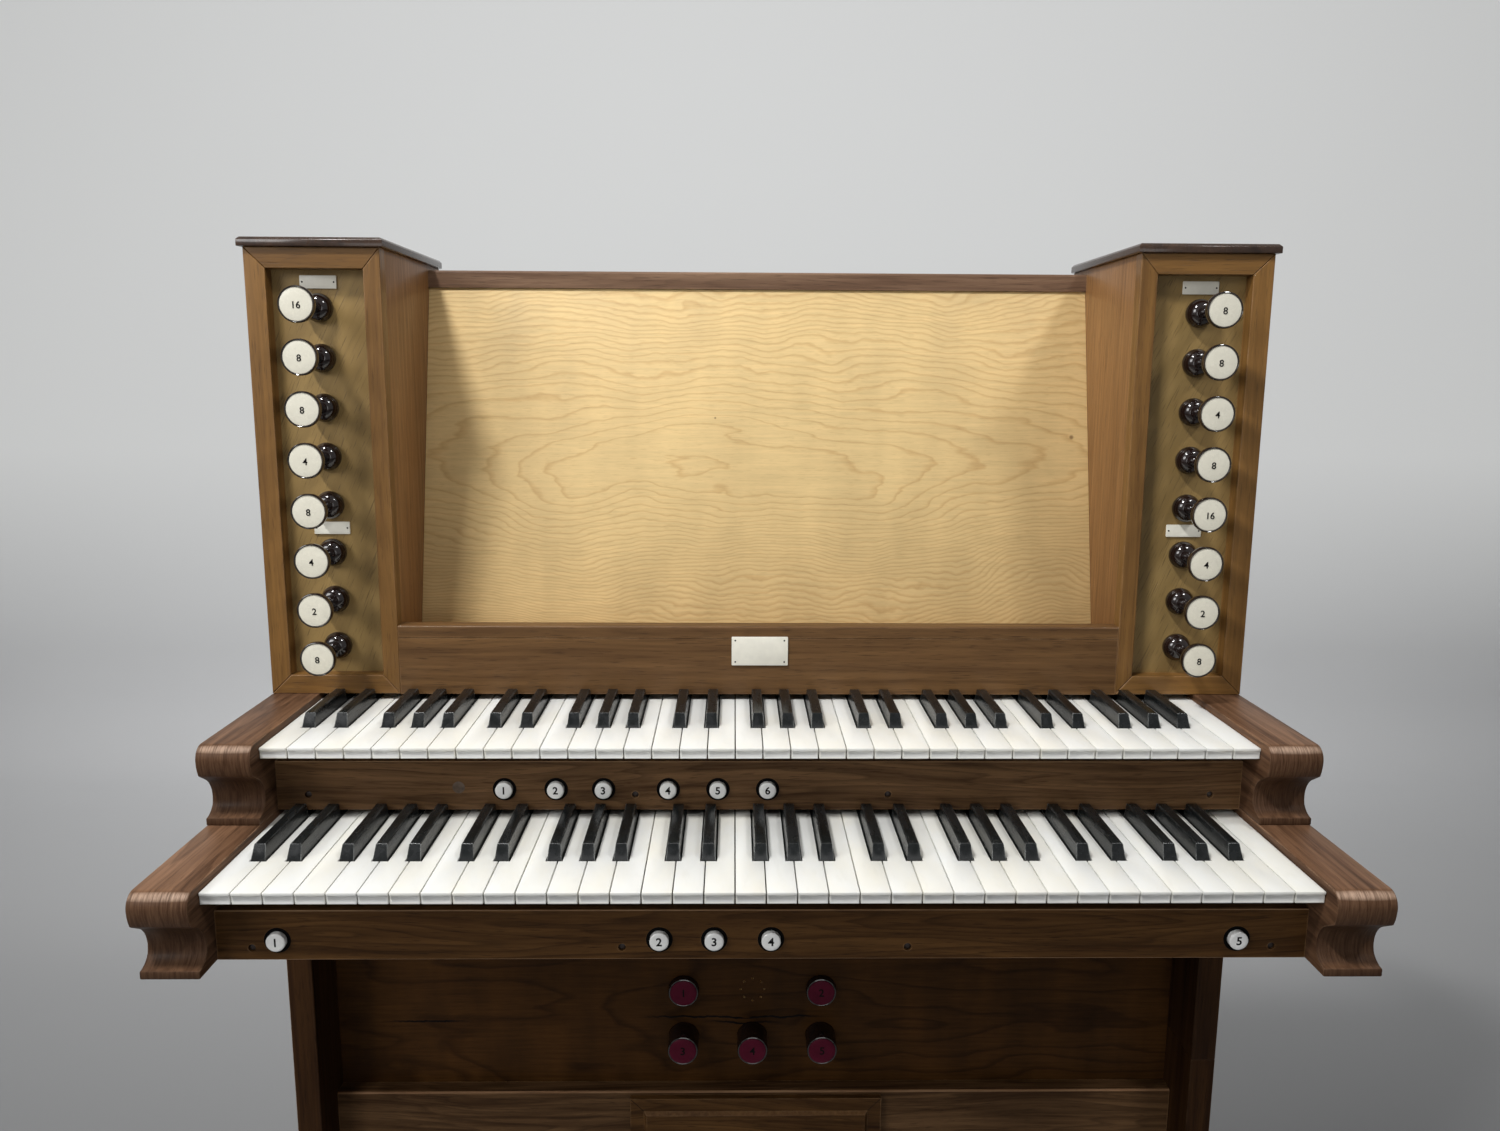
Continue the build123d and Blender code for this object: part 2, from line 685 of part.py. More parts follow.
lean = tan(radians(desk_lean))
desk_back = desk_thickness / cos(radians(desk_lean))
with BuildPart() as music_desk_panel:
    with BuildSketch(Plane.YZ.offset(-jamb_inner)):
        with BuildLine():
            Polyline((desk_foot_y, ledge_top), (desk_foot_y + desk_back, ledge_top),
                     (desk_top_y + desk_back, desk_top_height), (desk_top_y, desk_top_height),
                     (desk_foot_y, ledge_top))
        make_face()
    extrude(amount=2 * jamb_inner)
keep(music_desk_panel.part, "music_desk_panel")

with BuildPart() as music_desk_rail:
    rail_front = desk_top_y - desk_rail_lip
    add(board(-jamb_inner, jamb_inner, rail_front, rail_front + desk_rail_depth, desk_top_height,
              desk_top_height + desk_rail_height))
    upper_edges = music_desk_rail.faces().sort_by(Axis.Z)[-1].edges().filter_by(Axis.X)
    fillet(upper_edges, radius=desk_rail_radius)
keep(music_desk_rail.part, "music_desk_rail")
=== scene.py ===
import random
from contextlib import contextmanager
from math import pi, radians
import bpy
from mathutils import Matrix, Vector


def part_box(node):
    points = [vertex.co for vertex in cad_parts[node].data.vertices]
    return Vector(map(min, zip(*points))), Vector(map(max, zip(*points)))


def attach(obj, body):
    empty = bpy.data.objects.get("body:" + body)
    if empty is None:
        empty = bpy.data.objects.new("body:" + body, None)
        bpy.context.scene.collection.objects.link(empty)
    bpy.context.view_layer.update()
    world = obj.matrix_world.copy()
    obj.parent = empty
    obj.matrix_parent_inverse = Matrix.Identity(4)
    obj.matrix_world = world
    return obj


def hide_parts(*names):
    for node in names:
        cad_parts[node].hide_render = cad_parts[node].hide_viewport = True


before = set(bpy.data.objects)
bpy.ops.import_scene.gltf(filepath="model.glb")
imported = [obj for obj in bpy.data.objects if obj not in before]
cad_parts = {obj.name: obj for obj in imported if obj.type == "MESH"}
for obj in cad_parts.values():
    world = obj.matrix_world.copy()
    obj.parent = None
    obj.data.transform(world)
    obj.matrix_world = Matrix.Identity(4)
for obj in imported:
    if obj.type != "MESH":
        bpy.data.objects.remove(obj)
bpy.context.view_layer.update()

bl_info = {
    "name": "Two-manual organ console",
    "version": (1, 0, 0),
    "blender": (4, 5, 0),
    "location": "3D View > Sidebar > Console",
    "description": "Dresses the frame of an organ console in walnut, maple, key covers and turned knobs",
    "category": "Object",
}

# The body that everything fixed rides on, and the turn that faces a flat shape to the player
BODY = "console"
FACING = (pi / 2, 0, 0)

# Places read from the frame, in metres
KEY_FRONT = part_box("lower_naturals")[0].y
KEY_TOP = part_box("lower_naturals")[1].z
RAIL_FRONTS = {row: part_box(f"{row}_piston_rail")[0].y for row in ("lower", "upper")}
STOP_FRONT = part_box("stop_boards")[0].y
NAME_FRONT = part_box("nameboard")[0].y
NAME_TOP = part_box("nameboard")[1].z

# The backdrop stands this far behind the console
BACKDROP_Y = 2.6

# A piston's number starts this far inside its face
NUMBER_SINK = Vector((0, 0.00005, 0))

# Edges that turn by more than the first are rounded, and faces that turn by less than the others look smooth
ROUNDED_ABOVE = radians(30)
SMOOTH_BELOW = radians(28)
TURNED_SMOOTH_BELOW = radians(32)


def middle(node):
    """The middle of a node's box."""
    low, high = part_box(node)
    return (low + high) / 2


class ConsoleColours(bpy.types.PropertyGroup):
    """Colours of the finishes."""
    walnut_dark: bpy.props.FloatVectorProperty(
        name="Walnut, dark grain", description="Dark streaks of the case walnut", subtype="COLOR", size=3,
        min=0, max=1, default=(0.120, 0.052, 0.015))
    walnut_light: bpy.props.FloatVectorProperty(
        name="Walnut, light grain", description="Light streaks of the case walnut", subtype="COLOR", size=3,
        min=0, max=1, default=(0.400, 0.205, 0.076))
    maple_light: bpy.props.FloatVectorProperty(
        name="Maple", description="Ground colour of the music desk", subtype="COLOR", size=3,
        min=0, max=1, default=(0.690, 0.505, 0.238))
    maple_line: bpy.props.FloatVectorProperty(
        name="Maple, ring lines", description="Late wood lines of the music desk", subtype="COLOR", size=3,
        min=0, max=1, default=(0.450, 0.240, 0.078))
    key_white: bpy.props.FloatVectorProperty(
        name="Naturals", description="Key covers of the naturals", subtype="COLOR", size=3,
        min=0, max=1, default=(0.775, 0.777, 0.750))
    key_aged: bpy.props.FloatVectorProperty(
        name="Naturals, yellowed", description="Key covers where they have yellowed", subtype="COLOR", size=3,
        min=0, max=1, default=(0.775, 0.735, 0.610))
    knob_dark: bpy.props.FloatVectorProperty(
        name="Turned knobs", description="Brown black of the turned drawstops", subtype="COLOR", size=3,
        min=0, max=1, default=(0.018, 0.009, 0.007))
    toe_face: bpy.props.FloatVectorProperty(
        name="Toe pistons", description="Burgundy faces of the toe pistons", subtype="COLOR", size=3,
        min=0, max=1, default=(0.115, 0.003, 0.022))


class ConsoleSizes(bpy.types.PropertyGroup):
    """Sizes of the details that the looks add."""
    board_bevel: bpy.props.FloatProperty(
        name="Board edges", description="Rounding of the board edges", unit="LENGTH", min=0.0, max=0.003,
        default=0.0009)
    key_bevel: bpy.props.FloatProperty(
        name="Key edges", description="Rounding of the key covers", unit="LENGTH", min=0.0, max=0.001,
        default=0.0004)
    number_height: bpy.props.FloatProperty(
        name="Pitch numbers", description="Height of the numbers on the drawstops", unit="LENGTH",
        min=0.002, max=0.02, default=0.0085)
    thumb_number_height: bpy.props.FloatProperty(
        name="Piston numbers", description="Height of the numbers on the thumb pistons", unit="LENGTH",
        min=0.002, max=0.012, default=0.0093)
    toe_number_height: bpy.props.FloatProperty(
        name="Toe piston numbers", description="Height of the numbers on the toe pistons", unit="LENGTH",
        min=0.002, max=0.02, default=0.012)


class ConsoleStage(bpy.types.PropertyGroup):
    """Camera and light."""
    camera_place: bpy.props.FloatVectorProperty(
        name="Camera", description="Where the camera stands, from the middle of the lower keys' front edge",
        subtype="XYZ", size=3, unit="LENGTH", default=(-0.0254, -0.7782, 0.3807))
    camera_yaw: bpy.props.FloatProperty(
        name="Yaw", description="Turn to the right", subtype="ANGLE", default=radians(0.86))
    camera_pitch: bpy.props.FloatProperty(
        name="Pitch", description="Tilt down", subtype="ANGLE", default=radians(9.65))
    camera_roll: bpy.props.FloatProperty(
        name="Roll", description="Turn about the view", subtype="ANGLE", default=radians(0.32))
    focal_pixels: bpy.props.FloatProperty(
        name="Focal length", description="Focal length in pixels of a picture 1500 wide", default=1110.5)
    left_power: bpy.props.FloatProperty(
        name="Left lamp", description="Power of the main lamp, high on the left", unit="POWER",
        default=41.5)
    right_power: bpy.props.FloatProperty(
        name="Right lamp", description="Power of the weaker lamp, high on the right", unit="POWER",
        default=20.0)
    fill_power: bpy.props.FloatProperty(
        name="Fill", description="Power of the broad light from the left front", unit="POWER",
        default=30.0)
    front_power: bpy.props.FloatProperty(
        name="Front", description="Power of the weak light from the player's side", unit="POWER",
        default=5.0)
    ceiling_power: bpy.props.FloatProperty(
        name="Ceiling", description="Power of the tube on the ceiling", unit="POWER", default=12.0)
    backdrop_power: bpy.props.FloatProperty(
        name="Backdrop lamp", description="Power of the lamp on the backdrop", unit="POWER", default=20.0)
    room_light: bpy.props.FloatProperty(
        name="Room", description="Strength of the even light of the room", default=0.06)


# Node sheets: a few short words for the nodes that every finish uses
class Sheet:
    """A node tree that is written as a row of plain steps."""

    def __init__(self, tree):
        self.tree = tree

    def add(self, kind, settings=None, **inputs):
        node = self.tree.nodes.new(kind)
        for key, value in (settings or {}).items():
            setattr(node, key, value)
        for key, value in inputs.items():
            self.put(node.inputs[key.replace("_", " ")], value)
        return node

    def put(self, socket, value):
        if isinstance(value, bpy.types.NodeSocket):
            self.tree.links.new(value, socket)
        else:
            socket.default_value = value

    def math(self, operation, *values):
        node = self.add("ShaderNodeMath", {"operation": operation})
        for i, value in enumerate(values):
            self.put(node.inputs[i], value)
        return node.outputs[0]

    def times(self, first, second):
        return self.math("MULTIPLY", first, second)

    def plus(self, first, second):
        return self.math("ADD", first, second)

    def minus(self, first, second):
        return self.math("SUBTRACT", first, second)

    def vector(self, operation, *values, output="Vector"):
        node = self.add("ShaderNodeVectorMath", {"operation": operation})
        for i, value in enumerate(values):
            self.put(node.inputs[i], value)
        return node.outputs[output]

    def parts(self, vector):
        return self.add("ShaderNodeSeparateXYZ", Vector=vector).outputs

    def attribute(self, name):
        return self.add("ShaderNodeAttribute", {"attribute_name": name}).outputs["Fac"]

    def noise(self, vector, scale, detail=3.0, roughness=0.5, stretch=None):
        """A noise between 0 and 1, drawn out along each axis whose stretch is low."""
        if stretch:
            vector = self.vector("MULTIPLY", vector, stretch)
        node = self.add("ShaderNodeTexNoise", Vector=vector, Scale=scale, Detail=detail,
                        Roughness=roughness)
        return node.outputs[0]

    def swing(self, *settings, stretch=None):
        """The same noise about zero."""
        return self.minus(self.noise(*settings, stretch=stretch), 0.5)

    def span(self, value, low, high, to_low=0.0, to_high=1.0):
        """A value taken from one range to another and held inside it."""
        node = self.add("ShaderNodeMapRange", {"clamp": True})
        for i, part in enumerate((value, low, high, to_low, to_high)):
            self.put(node.inputs[i], part)
        return node.outputs[0]

    def blend(self, factor, first, second, way="MIX"):
        """Two colours, mixed or multiplied by a factor."""
        node = self.add("ShaderNodeMix", {"data_type": "RGBA", "blend_type": way})
        self.put(node.inputs[0], factor)
        for socket, colour in ((node.inputs[6], first), (node.inputs[7], second)):
            linked = isinstance(colour, bpy.types.NodeSocket)
            self.put(socket, colour if linked else (*colour[:3], 1.0))
        return node.outputs[2]

    def toned(self, colour, factor):
        """A colour made lighter or darker by a factor."""
        grey = self.add("ShaderNodeCombineColor")
        for i in range(3):
            self.put(grey.inputs[i], factor)
        return self.blend(1.0, colour, grey.outputs[0], "MULTIPLY")


def new_group(name, inputs, outputs):
    """An empty shader node group; an input with no number is a vector, and all outputs are numbers."""
    group = bpy.data.node_groups.new(name, "ShaderNodeTree")
    for label, value in inputs.items():
        kind = "NodeSocketVector" if value is None else "NodeSocketFloat"
        socket = group.interface.new_socket(name=label, in_out="INPUT", socket_type=kind)
        if value is not None:
            socket.default_value = value
    for label in outputs:
        group.interface.new_socket(name=label, in_out="OUTPUT", socket_type="NodeSocketFloat")
    start = group.nodes.new("NodeGroupInput")
    end = group.nodes.new("NodeGroupOutput")
    return group, Sheet(group), start.outputs, end.inputs


def straight_grain_group():
    """Straight wood grain along X: long streaks, slow bands of colour and short dark pores."""
    inputs = {"Vector": None, "Streaks": 60.0, "Wander": 0.02}
    group, s, given, result = new_group("straight_grain", inputs, ("Figure", "Pores", "Lines"))
    wander = s.add("ShaderNodeCombineXYZ", Y=given["Wander"], Z=given["Wander"])
    slow = s.vector("MULTIPLY", given["Vector"], (0.6, 1.6, 1.6))
    push = s.add("ShaderNodeTexNoise", Vector=slow, Scale=2.6, Detail=2.0)
    centred = s.vector("SUBTRACT", push.outputs[1], (0.5, 0.5, 0.5))
    bent = s.vector("ADD", given["Vector"], s.vector("MULTIPLY", centred, wander.outputs[0]))
    streaks = s.noise(bent, given["Streaks"], 6.0, 0.62, stretch=(0.035, 1.0, 1.0))
    bands = s.noise(bent, 14.0, 2.0, 0.4, stretch=(0.02, 1.0, 1.0))
    s.put(result["Figure"], s.plus(s.times(streaks, 0.68), s.times(bands, 0.32)))
    fine = s.noise(bent, 1100.0, 1.5, 0.5, stretch=(0.045, 1.0, 1.0))
    s.put(result["Pores"], s.span(fine, 0.60, 0.72))
    growth = s.noise(bent, s.times(given["Streaks"], 0.2), 2.5, 0.5, stretch=(0.06, 1.0, 1.0))
    phase = s.math("FRACT", s.times(growth, 17.0))
    fall = s.span(phase, 0.9, 1.0, 1.0, 0.0)
    s.put(result["Lines"], s.times(s.math("POWER", phase, 3.0), fall))
    return group


def ring_figure_group():
    """Figure of a flat-cut board: thin level lines of a low ridge, wider apart in and above its middle."""
    inputs = {"Vector": None, "Middle": None, "Width": 3.2, "Rings": 600.0, "Unrest": 8.0, "Ripple": 1.2,
              "Thickness": 0.0014, "Folds": 0.05}
    outputs = ("Rings", "Line", "Flecks", "Fibres", "Sheen")
    group, s, given, result = new_group("ring_figure", inputs, outputs)
    place = s.vector("SUBTRACT", given["Vector"], given["Middle"])
    along = s.parts(place)
    across = s.math("DIVIDE", along[0], given["Width"])
    folds = s.swing(place, 7.0, 2.0, 0.5, stretch=(0.55, 1.0, 0.8))
    creases = s.swing(place, 34.0, 3.0, 0.5, stretch=(0.6, 1.0, 0.5))
    bent = s.plus(folds, s.times(creases, 0.13))
    level = s.plus(along[2], s.times(bent, given["Folds"]))
    wider_above = s.span(level, -0.02, 0.03, 1.0, 0.78)
    level = s.times(level, wider_above)
    ridge = s.plus(s.times(across, across), s.times(level, level))
    slow = s.swing(place, 8.0, 2.0, 0.45, stretch=(0.28, 1.0, 1.3))
    small = s.swing(place, 40.0, 3.0, 0.5, stretch=(0.35, 1.0, 1.4))
    wave = s.plus(s.times(slow, given["Unrest"]), s.times(small, given["Ripple"]))
    turn = s.plus(s.times(ridge, given["Rings"]), wave)
    phase = s.math("FRACT", turn)
    s.put(result["Rings"], phase)
    steepness = s.times(s.math("SQRT", ridge), s.times(given["Rings"], 2.0))
    width = s.times(s.plus(steepness, 42.0), given["Thickness"])
    before = s.math("DIVIDE", s.minus(1.0, phase), width)
    rise = s.span(before, 0.0, 0.3)
    fall = s.span(before, 0.3, 1.0, 1.0, 0.0)
    s.put(result["Line"], s.times(rise, fall))
    flecks = s.noise(given["Vector"], 900.0, 2.0, 0.5, stretch=(0.10, 1.0, 1.0))
    s.put(result["Flecks"], s.span(flecks, 0.56, 0.74))
    s.put(result["Fibres"], s.noise(given["Vector"], 330.0, 6.0, 0.72, stretch=(0.045, 1.0, 1.0)))
    s.put(result["Sheen"], s.noise(given["Vector"], 26.0, 2.0, 0.5, stretch=(1.0, 1.0, 0.35)))
    return group


def edge_wear_group():
    """Where a rounded edge catches rubbing, and on the sharps a painted highlight: 1 along the edges, broken
    up by a noise.
    """
    group, s, given, result = new_group("edge_rub_and_highlight", {"Vector": None, "Reach": 0.002}, ("Rub and highlight",))
    eased = s.add("ShaderNodeBevel", {"samples": 4}, Radius=given["Reach"])
    plain = s.add("ShaderNodeNewGeometry")
    likeness = s.vector("DOT_PRODUCT", eased.outputs[0], plain.outputs["Normal"], output="Value")
    edge = s.span(likeness, 0.995, 0.86)
    patchy = s.span(s.noise(given["Vector"], 55.0, 4.0, 0.6), 0.38, 0.62)
    s.put(result["Rub and highlight"], s.times(edge, patchy))
    return group


GROUPS = {}
GROUP_MAKERS = {"straight_grain": straight_grain_group, "ring_figure": ring_figure_group,
                "edge_rub_and_highlight": edge_wear_group}


def group_node(sheet, name, **inputs):
    """A shared effect placed in a finish with its own values."""
    if name not in GROUPS:
        GROUPS[name] = GROUP_MAKERS[name]()
    node = sheet.add("ShaderNodeGroup", {"node_tree": GROUPS[name]})
    for key, value in inputs.items():
        sheet.put(node.inputs[key], value)
    return node.outputs


FINISHES = {}


def new_finish(name, roughness=0.45, coat=0.0, specular=0.5):
    """A new entry in the table of finishes, with only its shader, and the sheet to draw the rest on."""
    material = bpy.data.materials.new(name)
    material.use_nodes = True
    FINISHES[name] = material
    shader = material.node_tree.nodes["Principled BSDF"]
    shader.inputs["Roughness"].default_value = roughness
    shader.inputs["Coat Weight"].default_value = coat
    shader.inputs["Coat Roughness"].default_value = 0.12
    shader.inputs["Specular IOR Level"].default_value = specular
    return Sheet(material.node_tree), shader.inputs


def object_place(sheet, turn=(0, 0, 0), spread=0.0):
    """Object coordinates, turned so that the grain runs along X and shifted from board to board."""
    place = sheet.add("ShaderNodeTexCoord").outputs["Object"]
    mapped = sheet.add("ShaderNodeMapping", Vector=place, Rotation=turn).outputs[0]
    if not spread:
        return mapped
    distance = sheet.times(sheet.attribute("board"), spread)
    shift = sheet.add("ShaderNodeCombineXYZ", X=distance, Y=distance, Z=distance)
    return sheet.vector("ADD", mapped, shift.outputs[0])


def bump(sheet, shader, height, distance, strength=0.6):
    """Small relief from a height."""
    node = sheet.add("ShaderNodeBump", Strength=strength, Distance=distance, Height=height)
    sheet.put(shader["Normal"], node.outputs[0])


# Turns that lay the grain along an axis, and the way that the painted highlight on the rubbed noses faces
ALONG_X = (0, 0, 0)
ALONG_Y = (0, 0, pi / 2)
ALONG_Z = (0, pi / 2, 0)
NOSE_HIGHLIGHT_FACING = (0.0, -0.62, 0.785)


def darker(colour, share):
    """A share of a plain colour."""
    return tuple(c * share for c in colour)


def straight_wood(name, dark, light, turn, streaks=120.0, wander=0.02, roughness=0.46, coat=0.0, worn=None,
                  contrast=(0.36, 0.64), nose=None, specular=0.3, lines=0.25):
    """Wood with its grain along one axis; worn colours its rubbed edges, and nose its round front, which gets
    rubbing with a painted highlight, painted light on its tops and painted shade below the quirk.
    """
    s, shader = new_finish(name, roughness, coat, specular)
    place = object_place(s, turn, spread=3.7)
    grain = group_node(s, "straight_grain", Vector=place, Streaks=streaks, Wander=wander)
    colour = s.blend(s.span(grain["Figure"], *contrast), dark, light)
    deep = darker(dark, 0.42)
    colour = s.blend(s.times(grain["Pores"], 0.55), colour, deep)
    colour = s.blend(s.times(grain["Lines"], lines), colour, deep)
    board_tone = s.span(s.attribute("board"), 0.0, 1.0, 0.88, 1.12)
    colour = s.toned(colour, board_tone)
    if worn:
        wear = group_node(s, "edge_rub_and_highlight", Vector=place)["Rub and highlight"]
        colour = s.blend(s.times(wear, 0.6), colour, worn)
    if nose:
        colour = rubbed_nose(s, place, colour, dark, light, nose)
    s.put(shader["Base Color"], colour)
    s.put(shader["Roughness"], s.span(grain["Figure"], 0.2, 0.8, roughness + 0.09, roughness - 0.07))
    bump(s, shader, s.minus(s.times(grain["Figure"], 0.35), grain["Pores"]), 0.00012)


def rubbed_nose(s, place, colour, dark, light, nose):
    """Upright brushed grain on a shaped block's fronts, with painted light on the tops, painted shade below
    the quirk, and a round nose rubbed pale with a painted highlight.
    """
    normal = s.add("ShaderNodeNewGeometry").outputs["Normal"]
    facing = s.vector("DOT_PRODUCT", normal, NOSE_HIGHLIGHT_FACING, output="Value")
    zone = s.attribute("nose_zone")
    # Painted highlight: a paler band where the nose faces up and forward, towards the lamps
    band = s.times(s.span(facing, 0.93, 0.995), zone)
    brushed = s.noise(place, 700.0, 3.0, 0.7, stretch=(0.07, 1.0, 0.07))
    front = s.span(s.times(s.parts(normal)[1], -1.0), 0.15, 0.5)
    grain = s.blend(s.span(brushed, 0.25, 0.75), dark, darker(light, 0.62))
    colour = s.blend(front, colour, grain)
    # Painted light and shade: faces that look up are made up to 1.3 times as light, and the part below the
    # quirk, with the cove, is painted shade at 0.75 times
    level = s.span(s.parts(normal)[2], 0.85, 0.99, 1.0, 1.3)
    colour = s.toned(colour, s.times(s.span(zone, 0.0, 1.0, 0.75, 1.0), level))
    # The nose colour is laid on as rubbing and painted highlight together, broken by the brushed grain
    rubbed = s.times(band, s.span(brushed, 0.36, 0.66, 0.25, 1.0))
    return s.blend(s.times(rubbed, 0.85), colour, nose)


def figured_wood(name, ground, line, figure_middle, figure, strength, sheen, fibres, cracks=(), knots=(),
                 roughness=0.55, specular=0.3):
    """Flat-cut wood with ring lines on an upright board; figure names the values of the ring figure."""
    s, shader = new_finish(name, roughness, 0.0, specular)
    place = object_place(s)
    rings = group_node(s, "ring_figure", Vector=place, Middle=figure_middle, **figure)
    clouded = tuple(0.86 * a + 0.14 * b for a, b in zip(ground, line))
    cloud = s.span(s.noise(place, 5.5, 3.0, 0.6), 0.32, 0.68, 0.0, 0.35)
    colour = s.blend(cloud, ground, clouded)
    late_wood = s.math("POWER", rings["Rings"], 3.0)
    colour = s.blend(s.times(late_wood, 0.16 * strength), colour, line)
    colour = s.blend(s.times(rings["Line"], strength), colour, line)
    colour = s.blend(s.times(rings["Flecks"], 0.22), colour, darker(line, 0.75))
    colour = s.toned(colour, s.span(rings["Sheen"], 0.3, 0.7, *sheen))
    colour = s.toned(colour, s.span(rings["Fibres"], 0.34, 0.66, 1 - fibres, 1 + fibres))
    height = s.minus(s.times(rings["Line"], -0.25), s.times(rings["Flecks"], 0.6))
    for low_x, high_x, level in cracks:
        colour, height = crack(s, place, colour, height, low_x, high_x, level)
    upright = s.vector("MULTIPLY", place, (1.0, 0.0, 1.0))
    for x, z, radius in knots:
        gap = s.vector("DISTANCE", upright, (x, 0.0, z), output="Value")
        spot = s.span(gap, radius * 0.4, radius, 1.0, 0.0)
        colour = s.blend(s.times(spot, 0.75), colour, (0.16, 0.08, 0.03))
    s.put(shader["Base Color"], colour)
    s.put(shader["Roughness"], s.span(rings["Sheen"], 0.3, 0.7, roughness - 0.05, roughness + 0.06))
    bump(s, shader, height, 0.00008)


def crack(s, place, colour, height, low_x, high_x, level):
    """A thin split along the grain that wanders a little and thins out at both ends."""
    at = s.parts(place)
    fade = 0.03
    wander = s.times(s.swing(place, 28.0, 4.0, 0.7), 0.010)
    off = s.math("ABSOLUTE", s.minus(s.plus(at[2], wander), level))
    rise = s.span(at[0], low_x, low_x + fade)
    fall = s.span(at[0], high_x - fade, high_x, 1.0, 0.0)
    thin = s.times(s.span(off, 0.0006, 0.0015, 1.0, 0.0), s.times(rise, fall))
    broken = s.times(thin, s.span(s.noise(place, 60.0, 2.0, 0.5), 0.26, 0.36))
    return s.blend(broken, colour, (0.002, 0.001, 0.001)), s.minus(height, s.times(broken, 4.0))


def plain_finish(name, colour, roughness, coat=0.0, mottle=0.12, relief=0.00003, mottle_scale=60.0,
                 specular=0.5):
    """A smooth moulded or turned finish with faint mottling and uneven gloss."""
    s, shader = new_finish(name, roughness, coat, specular)
    place = object_place(s)
    cloud = s.noise(place, mottle_scale, 4.0, 0.6)
    s.put(shader["Base Color"], s.blend(s.span(cloud, 0.3, 0.7), darker(colour, 1 - mottle), colour))
    gloss = s.noise(place, 140.0, 3.0, 0.6)
    s.put(shader["Roughness"], s.span(gloss, 0.3, 0.7, roughness * 0.8, roughness * 1.25))
    bump(s, shader, cloud, relief, 0.4)


def natural_finish(white, aged):
    """Key covers: white, yellowed more on some keys than on others, with faint grey stains."""
    s, shader = new_finish("natural_covers", 0.38, 0.0, 0.3)
    place = object_place(s)
    cloud = s.noise(place, 34.0, 4.0, 0.6, stretch=(1.0, 0.45, 1.0))
    age = s.plus(cloud, s.times(s.attribute("board"), 0.25))
    colour = s.blend(s.times(s.span(age, 0.50, 0.95), 0.6), white, aged)
    dirt = s.span(s.noise(place, 160.0, 2.0, 0.5, stretch=(1.0, 0.3, 1.0)), 0.58, 0.90, 0.0, 0.16)
    s.put(shader["Base Color"], s.blend(dirt, colour, (0.50, 0.48, 0.42)))
    s.put(shader["Roughness"], s.span(cloud, 0.3, 0.7, 0.34, 0.46))
    bump(s, shader, s.noise(place, 220.0, 3.0, 0.5), 0.00001, 0.2)


def sharp_finish():
    """Black sharps, dull where fingers have rubbed them, with a painted highlight along their edges."""
    s, shader = new_finish("sharp_covers", 0.24, 0.0, 0.35)
    place = object_place(s)
    rub = s.noise(place, 120.0, 4.0, 0.6, stretch=(1.0, 0.2, 1.0))
    colour = s.blend(s.span(rub, 0.35, 0.75), (0.003, 0.004, 0.004), (0.010, 0.011, 0.012))
    colour = s.blend(s.times(s.attribute("board"), 0.25), colour, (0.017, 0.019, 0.019))
    # Painted highlight: pale grey along the rounded edges
    wear = group_node(s, "edge_rub_and_highlight", Vector=place, Reach=0.0012)["Rub and highlight"]
    colour = s.blend(s.times(wear, 0.85), colour, (0.34, 0.35, 0.34))
    s.put(shader["Base Color"], colour)
    s.put(shader["Roughness"], s.span(rub, 0.3, 0.7, 0.17, 0.34))
    bump(s, shader, rub, 0.00004, 0.3)


